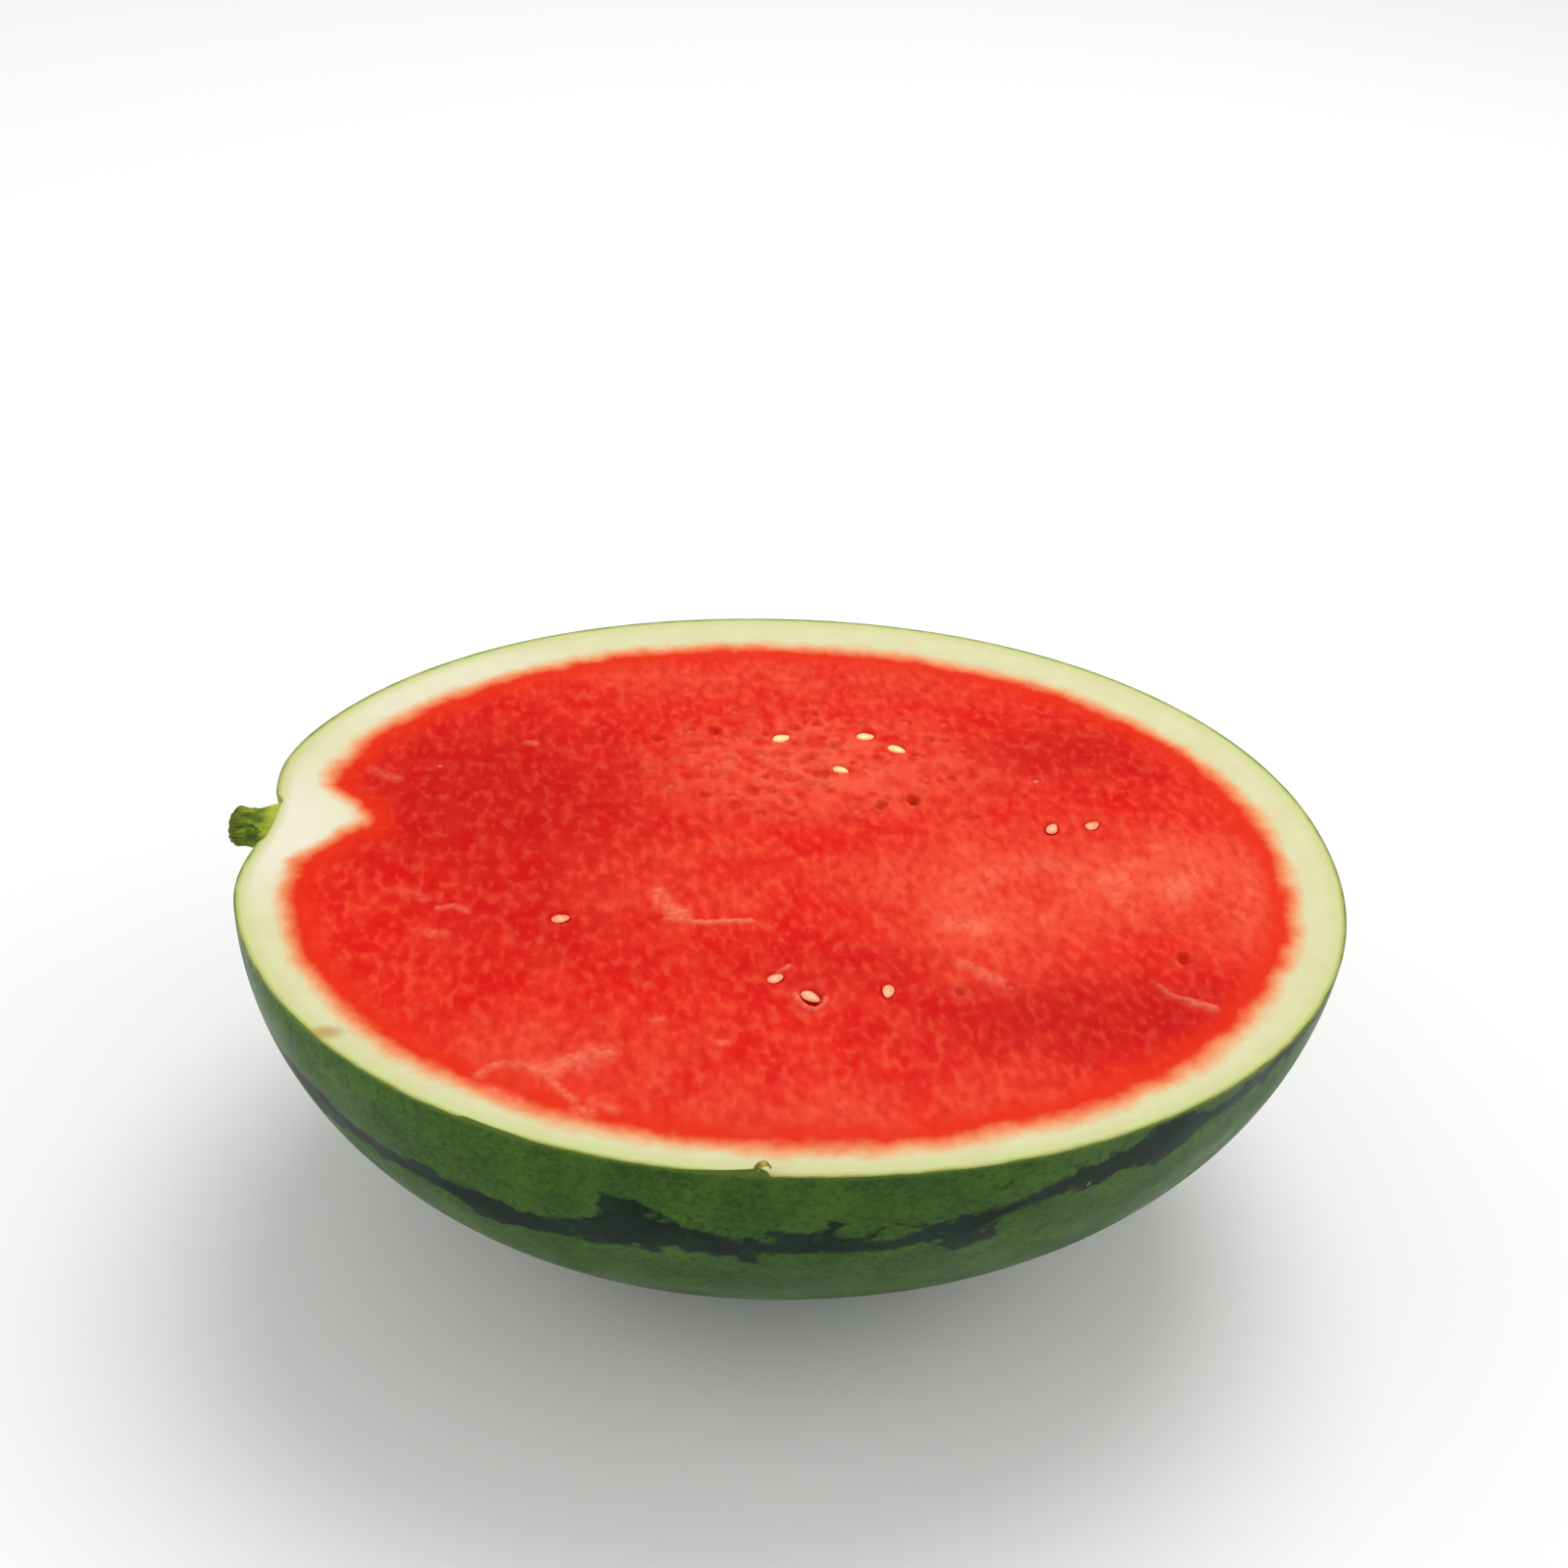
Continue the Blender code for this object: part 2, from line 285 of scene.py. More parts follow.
# %% List the torn marks
# points along a torn mark, its half width, its height, and how pale it is
SCARS = [
    ([(-0.0385, -0.0255), (-0.0285, -0.0270), (-0.0165, -0.0265)], 0.0010, 0.0008, 0.85),
    ([(-0.0395, -0.0145), (-0.0380, -0.0205), (-0.0340, -0.0235)], 0.0026, 0.0007, 0.80),
    ([(0.0865, -0.0555), (0.0890, -0.0590), (0.0925, -0.0615)], 0.0009, 0.0006, 0.60),
    ([(0.0925, -0.0615), (0.0960, -0.0630), (0.0990, -0.0645)], 0.0013, 0.0009, 0.90),
    ([(-0.0875, -0.0815), (-0.0850, -0.0785), (-0.0815, -0.0770), (-0.0765, -0.0780)], 0.0014, 0.0006, 0.60),
    ([(-0.0765, -0.0780), (-0.0720, -0.0810), (-0.0685, -0.0865), (-0.0655, -0.0905)], 0.0014, 0.0005, 0.55),
    ([(-0.0700, -0.0795), (-0.0655, -0.0770), (-0.0610, -0.0745), (-0.0565, -0.0745)], 0.0030, 0.0004, 0.65),
    ([(-0.0640, -0.0800), (-0.0600, -0.0780)], 0.0022, 0.0003, 0.50),
    ([(-0.0650, -0.0940), (-0.0620, -0.0945)], 0.0020, 0.0003, 0.60),
    ([(-0.0845, -0.0865), (-0.0790, -0.0905)], 0.0022, 0.0003, 0.80),
    ([(-0.0610, -0.0910), (-0.0560, -0.0940)], 0.0016, 0.0003, 0.45),
    ([(-0.0445, -0.0645), (-0.0425, -0.0640)], 0.0015, 0.0003, 0.40),
    ([(-0.0290, -0.0730), (-0.0275, -0.0730)], 0.0013, 0.0003, 0.45),
    ([(-0.1055, -0.0130), (-0.1010, -0.0150)], 0.0020, 0.0003, 0.35),
    ([(-0.0970, -0.0195), (-0.0930, -0.0185), (-0.0895, -0.0210)], 0.0010, 0.0004, 0.50),
    ([(-0.0995, -0.0290), (-0.0955, -0.0295)], 0.0017, 0.0003, 0.45),
    ([(-0.0720, 0.0530), (-0.0695, 0.0530)], 0.0013, 0.0003, 0.45),
    ([(-0.1160, 0.0400), (-0.1090, 0.0360)], 0.0020, 0.0003, 0.35),
    ([(0.0350, -0.0300), (0.0440, -0.0305)], 0.0036, 0.0003, 0.48),
    ([(0.0360, -0.0450), (0.0415, -0.0490), (0.0440, -0.0525)], 0.0022, 0.0004, 0.50),
    ([(0.0640, -0.0045), (0.0750, -0.0060)], 0.0042, 0.0002, 0.34),
    ([(0.0830, -0.0120), (0.0850, -0.0140)], 0.0040, 0.0002, 0.48),
    ([(0.1000, -0.0155), (0.1030, -0.0180)], 0.0038, 0.0002, 0.40),
    ([(-0.0140, -0.0490), (-0.0110, -0.0470), (-0.0085, -0.0450)], 0.0008, 0.0007, 0.80),
    ([(-0.0080, -0.0560), (-0.0075, -0.0590), (-0.0055, -0.0615)], 0.0011, 0.0009, 0.90),
    ([(-0.0050, -0.0615), (-0.0020, -0.0600), (-0.0010, -0.0575)], 0.0011, 0.0009, 0.80),
]
print(len(SCARS), "torn marks")

# %% [markdown]
# The upper middle of the cut is a whole field of shallow pits. Listing them all would be long and teach
# nothing, so the rest are thrown over an oval by a seeded rule, which keeps each clear of the others.

# %% Throw small pits over the pitted field
PIT_FIELD = (0.010, 0.043, 0.050, 0.027)  # middle x, middle y, half length and half width
SCATTERED_PITS = 46
SCATTER_SEED = 11
PIT_RADII = (0.0013, 0.0024)
PIT_DEPTHS = (0.22, 0.42)  # as shares of the radius
# painted shade at the bottom of each thrown pit
PIT_PAINTED_SHADE = (0.15, 0.5)
PIT_SEEN = (0.0, 0.0, 0.4)
PIT_SPACING = 0.9  # 1 keeps pits from touching
SEED_CLEARANCE = 0.0032

random.seed(SCATTER_SEED)


def scatter_pits(count):
    """Shallow pits thrown over the pitted field, hardly touching one another or a seed."""
    taken = [(x, y, radius) for x, y, radius, _, _, _ in PITS]
    taken += [(seed["middle"].x, seed["middle"].y, SEED_CLEARANCE) for seed in SEEDS]
    made = []
    while len(made) < count:
        turn = random.uniform(0, 2 * math.pi)
        out = math.sqrt(random.random())
        x = PIT_FIELD[0] + PIT_FIELD[2] * out * math.cos(turn)
        y = PIT_FIELD[1] + PIT_FIELD[3] * out * math.sin(turn)
        radius = random.uniform(*PIT_RADII)
        if all(math.hypot(x - a, y - b) > PIT_SPACING * (radius + size) for a, b, size in taken):
            taken.append((x, y, radius))
            depth = radius * random.uniform(*PIT_DEPTHS)
            made.append((x, y, radius, depth, random.uniform(*PIT_PAINTED_SHADE), random.choice(PIT_SEEN)))
    return made


PITS += scatter_pits(SCATTERED_PITS)
print(len(PITS), "pits in all")

# %% [markdown]
# ## The melon's mesh
# A ball made of rings has poles, where faces shrink to slivers. A gridded box drawn onto a ball has none,
# and the top of half such a box becomes a round field of even squares: just what the cut face needs for
# its relief. So the shape starts as a box with a grid on it, and every point is drawn out to the melon's
# oval later.

# %% A gridded half box
ACROSS = 88  # squares along each side of the box
DOWN = 44  # and down its sides
SKIN, CUT = 0, 1


def gridded_half_box():
    shape = bmesh.new()
    bmesh.ops.create_cube(shape, size=2.0)
    bmesh.ops.scale(shape, vec=(1, 1, 0.5), verts=shape.verts)
    bmesh.ops.translate(shape, vec=(0, 0, -0.5), verts=shape.verts)
    level = [edge for edge in shape.edges if abs(edge.verts[0].co.z - edge.verts[1].co.z) < 0.5]
    bmesh.ops.subdivide_edges(shape, edges=level, cuts=ACROSS - 1, use_grid_fill=True)
    upright = [edge for edge in shape.edges if abs(edge.verts[0].co.z - edge.verts[1].co.z) > 0.5]
    bmesh.ops.subdivide_edges(shape, edges=upright, cuts=DOWN - 1, use_grid_fill=True)
    for face in shape.faces:
        on_top = all(abs(vert.co.z) < 1e-6 for vert in face.verts)
        face.material_index = CUT if on_top else SKIN
    return shape


melon = gridded_half_box()
print(len(melon.faces), "squares on the half box")

# %% [markdown]
# Pushing each point straight out from the middle would bunch the squares up near the box's corners. This
# rule spreads them evenly over a ball, and the ball is then stretched to the melon's length, width and
# depth. A fullness of a little over 2 gives the squarer shoulders of a real melon.

# %% The way from the box to the oval
def drawn_to_oval(point):
    """A point of the half box, drawn onto the ball and then out to the melon's oval."""
    x, y, z = point
    round_x = x * math.sqrt(max(0.0, 1 - y * y / 2 - z * z / 2 + y * y * z * z / 3))
    round_y = y * math.sqrt(max(0.0, 1 - x * x / 2 - z * z / 2 + x * x * z * z / 3))
    round_z = z * math.sqrt(max(0.0, 1 - x * x / 2 - y * y / 2 + x * x * y * y / 3))
    size = math.sqrt(round_x**2 + round_y**2 + round_z**2)
    if size < 1e-9:
        return Vector((0, 0, 0))
    side = math.hypot(round_y, round_z)
    reach = size * (abs(round_x) ** FULLNESS + side**FULLNESS) ** (-1 / FULLNESS)
    return Vector((HALF_LENGTH * round_x, HALF_WIDTH * round_y, DEPTH * round_z)) * reach


corner = drawn_to_oval(Vector((1, 1, 0)))
print(f"the box's corner comes to {1000 * corner.x:.0f}, {1000 * corner.y:.0f} mm")

# %% [markdown]
# An even grid fine enough for a pit of 3 mm would need a million faces. So only the squares near a mark are
# cut finer, twice, the second time in a narrower band.

# %% Cut the grid finer near the marks
SEED_REACH = 0.0034
BANDS = (0.0026, 0.0011)  # how far around a mark each of the two finer cuts reaches


def away_from_line(place, line):
    """The distance from a place to a line through a few points, seen from above."""
    nearest = 1.0
    for start, end in zip(line, line[1:]):
        way = Vector(end) - Vector(start)
        share = (Vector((place.x, place.y)) - Vector(start)).dot(way) / way.length_squared
        foot = Vector(start) + way * min(1.0, max(0.0, share))
        nearest = min(nearest, math.hypot(place.x - foot.x, place.y - foot.y))
    return nearest


def near_a_mark(place, band):
    for seed in SEEDS:
        if math.hypot(place.x - seed["middle"].x, place.y - seed["middle"].y) < SEED_REACH + band:
            return True
    for x, y, radius, _, _, _ in PITS:
        if math.hypot(place.x - x, place.y - y) < radius + band:
            return True
    return any(away_from_line(place, line) < width + band for line, width, _, _ in SCARS)


def cut_finer(shape, wanted):
    """Halves the edges of every wanted square of the cut face."""
    chosen = [face for face in shape.faces if face.material_index == CUT and wanted(face)]
    edges = {edge for face in chosen for edge in face.edges}
    bmesh.ops.subdivide_edges(shape, edges=list(edges), cuts=1, use_grid_fill=True)


cut_finer(melon, lambda face: True)
for band in BANDS:
    cut_finer(melon, lambda face: near_a_mark(drawn_to_oval(face.calc_center_median()), band))
for vert in melon.verts:
    vert.co = drawn_to_oval(vert.co)
print(len(melon.verts), "points,", sum(len(face.verts) - 2 for face in melon.faces), "triangles")

# %% [markdown]
# ## Rind, flesh and relief
# What a point looks like depends on how far it lies from the skin and from the edge of the red flesh. The
# materials could work this out again at every spot, but it is simpler to store both distances on the points
# as attributes. The flesh's edge is an oval with a rind that is thin at the front and thick at the back. At
# the stalk a white wedge of rind runs into the flesh, where the veins of the fruit come in.

# %% Distances from the skin and from the flesh
RIND = 0.0125
RIND_BACK = 0.0036  # how much thicker the rind gets towards +Y
RIND_BLOSSOM = 0.0012  # towards the blossom end
RIND_ENDS = 0.0015  # and at both ends
WEDGE_TIP = Vector((-0.1195, 0.0190))
WEDGE_AIM = Vector((-1.0, 0.06)).normalized()
WEDGE_ROUND = 0.0026  # the radius of its blunt tip
WEDGE_OPENING = 1.02  # how much each side spreads for each metre towards the stalk


def distance_from_skin(x, y):
    reach = (abs(x / HALF_LENGTH) ** FULLNESS + abs(y / HALF_WIDTH) ** FULLNESS) ** (1 / FULLNESS)
    if reach < 0.05:
        return HALF_WIDTH
    slope_x = abs(x / HALF_LENGTH) ** (FULLNESS - 1) / HALF_LENGTH
    slope_y = abs(y / HALF_WIDTH) ** (FULLNESS - 1) / HALF_WIDTH
    slope = math.hypot(slope_x, slope_y) * reach ** (1 - FULLNESS)
    return max(0.0, (1 - reach) / slope)


def distance_into_flesh(x, y):
    turn = math.atan2(y / HALF_WIDTH, x / HALF_LENGTH)
    rind = RIND + RIND_BACK * math.sin(turn) + RIND_BLOSSOM * math.cos(turn)
    rind += RIND_ENDS * math.cos(turn) ** 2
    inside = distance_from_skin(x, y) - rind
    away = Vector((x, y)) - WEDGE_TIP
    out = away.dot(WEDGE_AIM)
    side = abs(away.cross(WEDGE_AIM))
    if out > 0:
        beside = (side - WEDGE_ROUND - WEDGE_OPENING * out) / math.hypot(1, WEDGE_OPENING)
    else:
        beside = math.hypot(out, side) - WEDGE_ROUND
    return min(inside, beside)


front, back = 1000 * (RIND - RIND_BACK), 1000 * (RIND + RIND_BACK)
print(f"the rind is {front:.1f} mm thick at the front and {back:.1f} mm at the back")

# %% [markdown]
# The relief could be sculpted by hand, but then nobody could change one pit of it later. Here it is added
# up from simple parts. The first part is the knife's own work: slow waves where the blade bent, and fine
# lumps where it went through the soft cells of the flesh.

# %% Waves and lumps
WAVE_HEIGHT = 0.0009
WAVE_PITCH = 22  # noise lumps per metre
LUMP_HEIGHT = 0.00014
LUMP_PITCH = 260
SOFT_FLESH = 0.012  # the flesh is fully soft this far in from the rind


def smooth_step(low, high, value):
    share = min(1.0, max(0.0, (value - low) / (high - low)))
    return share * share * (3 - 2 * share)


def waves_and_lumps(place, flesh):
    in_flesh = smooth_step(0.0, SOFT_FLESH, flesh)
    height = WAVE_HEIGHT * noise.noise(place * WAVE_PITCH) * in_flesh
    moved = place * LUMP_PITCH + Vector((3, 1, 0))
    height += LUMP_HEIGHT * noise.noise(moved) * (0.35 + 0.65 * in_flesh)
    return height + 0.5 * LUMP_HEIGHT * noise.noise(place * 2 * LUMP_PITCH) * in_flesh


sample = [1000 * waves_and_lumps(Vector((x / 100, 0, 0)), SOFT_FLESH) for x in range(-10, 11)]
print(f"waves and lumps run from {min(sample):.2f} to {max(sample):.2f} mm along the middle")

# %% [markdown]
# A pit is left where a seed fell out: a dish with ragged walls and a low lip. Its bottom is darkened with
# painted shade, and its lip is paled a little as a painted highlight. In some of them a pale seed still
# shows. A ball could cut each one out, but every edge would be a clean circle. So the distance from the
# pit's middle is made uneven with noise before the dish is worked out from it.

# %% Pits
# sizes are shares of the pit's radius, and heights are shares of its depth
PIT_REACH = 1.8
PIT_WALL = 1.25
# how far out painted shade darkens a pit
PIT_SHADE_REACH = 1.3
LIP_AT = 1.2
LIP_WIDTH = 0.4
LIP_HEIGHT = 0.15
# how pale the lip is: a painted highlight
LIP_HIGHLIGHT = 0.08
SEEN_SIZE = 0.75
SEEN_SHIFT = 0.15
RAGGEDNESS = 0.45
RAGGED_PITCH = 420


def dish(away, radius):
    """1 at the middle of a pit, 0 at its edge, with a rounded bottom and a soft lip."""
    share = away / radius
    return (1 - smooth_step(0.0, 1.0, share)) if share < 1 else 0.0


def pits_at(x, y):
    """Height, paleness and painted shade from all pits at this place; the lip's paleness is a painted
    highlight.
    """
    height, pale, dark = 0.0, 0.0, 0.0
    ragged = 1 + RAGGEDNESS * noise.noise(Vector((x, y, 0)) * RAGGED_PITCH + Vector((0, 0, 5)))
    for pit_x, pit_y, radius, depth, pit_shade, seen in PITS:
        away = math.hypot(x - pit_x, y - pit_y) * ragged
        if away >= PIT_REACH * radius:
            continue
        lip = math.exp(-(((away - LIP_AT * radius) / (LIP_WIDTH * radius)) ** 2))
        height += LIP_HEIGHT * depth * lip - depth * dish(away, PIT_WALL * radius)
        # painted shade darkens the bottom of the pit, most at its middle
        dark = max(dark, pit_shade * dish(away, PIT_SHADE_REACH * radius))
        from_seen = math.hypot(x - pit_x, y - pit_y + SEEN_SHIFT * radius)
        # a pale seed where one shows, and a faint painted highlight on the lip
        pale = max(pale, seen * dish(from_seen, SEEN_SIZE * radius), LIP_HIGHLIGHT * lip)
    return height, pale, dark


print(f"the first pit is {-1000 * pits_at(*PITS[0][:2])[0]:.1f} mm deep")

# %% [markdown]
# Each bare seed lies in the pocket that it grew in. The solid already has such a pocket, but its walls are
# plain. Here it is a sunk egg a little larger than the seed, with a floor that curves up to the cut face.

# %% Seed pockets
POCKET_MARGIN = 0.0004
POCKET_DEPTH = 0.0011
POCKET_FLOOR, POCKET_LIP = 0.62, 1.25  # where its slope starts and ends, as shares of the seed's egg
# painted shade in a seed's pocket, darker where the pocket is deeper
POCKET_PAINTED_SHADE = 0.18


def seed_pocket(x, y, seed):
    """How deep a seed's pocket is at this place."""
    dx, dy = x - seed["middle"].x, y - seed["middle"].y
    along = dx * math.cos(seed["turn"]) + dy * math.sin(seed["turn"])
    across = -dx * math.sin(seed["turn"]) + dy * math.cos(seed["turn"])
    half_length = seed["length"] / 2 + POCKET_MARGIN
    half_width = seed["width"] / 2 + POCKET_MARGIN
    share = math.hypot(along / half_length, across / half_width)
    return POCKET_DEPTH * (1 - smooth_step(POCKET_FLOOR, POCKET_LIP, share))


print("pockets for", len(SEEDS), "seeds")

# %% [markdown]
# Where the knife dragged, it tore fibres up into pale, crumbly ridges. Loose strands would be closer to the
# real thing, but at less than 1 mm high a ridge in the face itself looks the same, and it stays one mesh.
# With the ridges all parts of the relief are there, and one function adds them up.

# %% Torn fibres, and the whole relief
TEAR_REACH = 1.6  # how far a ridge spreads, in half widths of its mark
CRUMB_PITCH = 700


def tears_at(place):
    """Height and paleness from all torn marks at this place."""
    height, pale = 0.0, 0.0
    for line, width, tall, paleness in SCARS:
        ridge = dish(away_from_line(place, line), TEAR_REACH * width)
        if ridge > 0:
            crumb = 0.75 + 0.6 * noise.noise(place * CRUMB_PITCH)
            height += tall * ridge * crumb
            pale = max(pale, paleness * ridge * min(1.0, crumb))
    return height, pale


def relief(x, y, flesh):
    """Height, paleness and painted shade of the cut face at this place."""
    place = Vector((x, y, 0))
    pit_height, pit_pale_and_highlight, dark = pits_at(x, y)
    tear_height, tear_pale = tears_at(place)
    pockets = [seed_pocket(x, y, seed) for seed in SEEDS]
    height = waves_and_lumps(place, flesh) + pit_height + tear_height - sum(pockets)
    # painted shade in the seed pockets
    dark = max(dark, POCKET_PAINTED_SHADE * max(pockets) / POCKET_DEPTH)
    return height, max(pit_pale_and_highlight, tear_pale), dark


middle = SEEDS[0]["middle"]
print(f"the first seed's pocket is {-1000 * relief(middle.x, middle.y, SOFT_FLESH)[0]:.1f} mm deep")

# %% [markdown]
# At two places the knife slipped and left a thin flap of skin standing at the front edge. A separate strip
# would have to be joined on, so the edge itself is lifted: steeply where a flap starts, and then sloping
# down to nothing where it ends.

# %% The flaps of skin
# start and end along the front edge, and the height at the start
FLAPS = [(-0.0225, -0.0460, 0.0030), (-0.0920, -0.0700, 0.0013)]


def flap_height(x):
    """How high the knife's flap of skin stands above the front edge."""
    for start, end, height in FLAPS:
        share = (x - start) / (end - start)
        if 0 <= share <= 1:
            return height * (1 - share) ** 1.4 * smooth_step(-0.06, 0.07, share)
    return 0.0


print("flaps", [round(1000 * height, 1) for _, _, height in FLAPS], "mm high")

# %% [markdown]
# The melon is drawn in where the stalk grew, and the stalk sits on a small level seat in that hollow. Both
# could be cut out with other shapes, but the cuts would leave sharp rims, and this dip has none. So points
# are moved instead: by a smooth bell for the hollow, and down to the seat's plane for the seat.

# %% The hollow and the seat
STALK_SIDE = 0.019
STALK_DROP = 0.004
STALK_TURN = math.radians(14)
HOLLOW_DEPTH = 0.0075
HOLLOW_RADIUS = 0.020
SEAT_DEPTH = 0.0005
SEAT_RADIUS = 0.0089
SEAT_BLEND = 1.3  # the seat has gone over into the skin this many seat radii out


def hollow(y, z):
    away = (y - STALK_SIDE) ** 2 + (z + STALK_DROP) ** 2
    return HOLLOW_DEPTH * math.exp(-away / HOLLOW_RADIUS**2)


def stalk_frame():
    """The middle of the stalk's seat, with its local +Z along the stalk, away from the melon."""
    off_axis = math.hypot(STALK_SIDE / HALF_WIDTH, STALK_DROP / DEPTH)
    x = -HALF_LENGTH * (1 - off_axis**FULLNESS) ** (1 / FULLNESS) + hollow(STALK_SIDE, -STALK_DROP)
    out = Vector((-math.cos(STALK_TURN), math.sin(STALK_TURN), 0))
    middle = Vector((x, STALK_SIDE, -STALK_DROP)) - out * SEAT_DEPTH
    return Matrix.Translation(middle) @ out.to_track_quat("Z", "Y").to_matrix().to_4x4()


def levelled(point):
    """A point near the stalk, brought down to the plane of its seat."""
    local = SEAT.inverted() @ point
    away = math.hypot(local.x, local.y)
    if away >= SEAT_BLEND * SEAT_RADIUS or local.z <= 0:
        return point
    level = 1 - smooth_step(SEAT_RADIUS, SEAT_BLEND * SEAT_RADIUS, away)
    return SEAT @ Vector((local.x, local.y, local.z * (1 - level)))


SEAT = stalk_frame()
print("the stalk's seat is at", [round(1000 * value, 1) for value in SEAT.translation], "mm")

# %% [markdown]
# Now the parts are put together, point by point. Displacement in a material could raise the relief too, but
# it would be gone from the mesh, and the pits are real shapes. Near the skin the relief fades out, because
# firm rind cuts clean. The underside is pressed flat where the melon rests.

# %% Shape the melon
FIRM_RIND = 0.004  # the relief reaches its full height this far in from the skin
HOLLOW_REACH = 0.045  # how far in from the skin the hollow still moves the rind
FLAP_BASE = 0.0012  # how thick a flap is at its foot
EDGE_BAND = 0.0002  # skin this near the cut is lifted with it

skin_layer = melon.verts.layers.float.new("skin_depth")
flesh_layer = melon.verts.layers.float.new("flesh_depth")
# pale torn fibres and seeds, and the painted highlight on the pits' lips
pale_and_highlight_layer = melon.verts.layers.float.new("pale")
# painted shade in the pits and pockets
dark_layer = melon.verts.layers.float.new("dark")

for vert in melon.verts:
    x, y, z = vert.co
    on_cut = z > -1e-7
    skin = distance_from_skin(x, y) if on_cut else 0.0
    if on_cut:
        flesh = distance_into_flesh(x, y)
        height, vert[pale_and_highlight_layer], vert[dark_layer] = relief(x, y, flesh)
        vert[skin_layer] = skin
        vert[flesh_layer] = flesh
        vert.co.z = height * smooth_step(0.0, FIRM_RIND, skin)
    if x < 0:
        vert.co.x += hollow(y, z) * (1 - smooth_step(0.0, HOLLOW_REACH, skin))
    if y < 0 and z > -EDGE_BAND:
        vert.co.z += flap_height(x) * (1 - smooth_step(0.0, FLAP_BASE, skin))
    vert.co = levelled(vert.co)
    vert.co.z = max(vert.co.z, FLAT_SPOT - DEPTH)

bmesh.ops.translate(melon, vec=MIDDLE, verts=melon.verts)
bmesh.ops.recalc_face_normals(melon, faces=melon.faces)
highest = max(vert.co.z for vert in melon.verts)
print(f"the highest point stands {1000 * (highest - MIDDLE.z):.1f} mm above the cut")

# %% [markdown]
# Every piece ends the same way: its shape becomes a mesh, gets its materials, stays at the origin and rides
# on the frame. The names of the solids that it stands in for are given too, so that those are hidden.

# %% A helper that finishes a piece
def finish_piece(shape, name, materials, body="root", replaces=(), sharp=None):
    """Turns a bmesh into a finished piece at the origin that rides on the frame."""
    mesh = bpy.data.meshes.new(name)
    shape.to_mesh(mesh)
    shape.free()
    for material in materials:
        mesh.materials.append(material)
    mesh.shade_smooth()
    if sharp:
        mesh.set_sharp_from_angle(angle=math.radians(sharp))
    piece = bpy.data.objects.new(name, mesh)
    bpy.context.scene.collection.objects.link(piece)
    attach(piece, body)
    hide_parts(*replaces)
    print(f"{name}: {sum(len(face.vertices) - 2 for face in mesh.polygons)} triangles")


print("ready to finish pieces")

# %% [markdown]
# ## Materials
# Colours are easiest to give as they look on a screen, from 0 to 255. A shader works with amounts of light
# instead, so one helper turns the first into the second.

# %% A helper for colours
def linear(red, green, blue):
    """A colour as seen on a screen, 0 to 255, as the light values that a shader wants."""
    values = [value / 255 for value in (red, green, blue)]
    return tuple(v / 12.92 if v < 0.04045 else ((v + 0.055) / 1.055) ** 2.4 for v in values) + (1.0,)


print("middle grey on a screen is this much light:", [round(value, 2) for value in linear(128, 128, 128)[:3]])

# %% [markdown]
# The materials are built from nodes in code. Nodes can be laid out by hand too, but a recipe in code can be
# read from top to bottom and changed in one place. A few short helpers keep it readable: one adds a node,
# and the others are the sums, fades and mixtures that every finish below is made of.

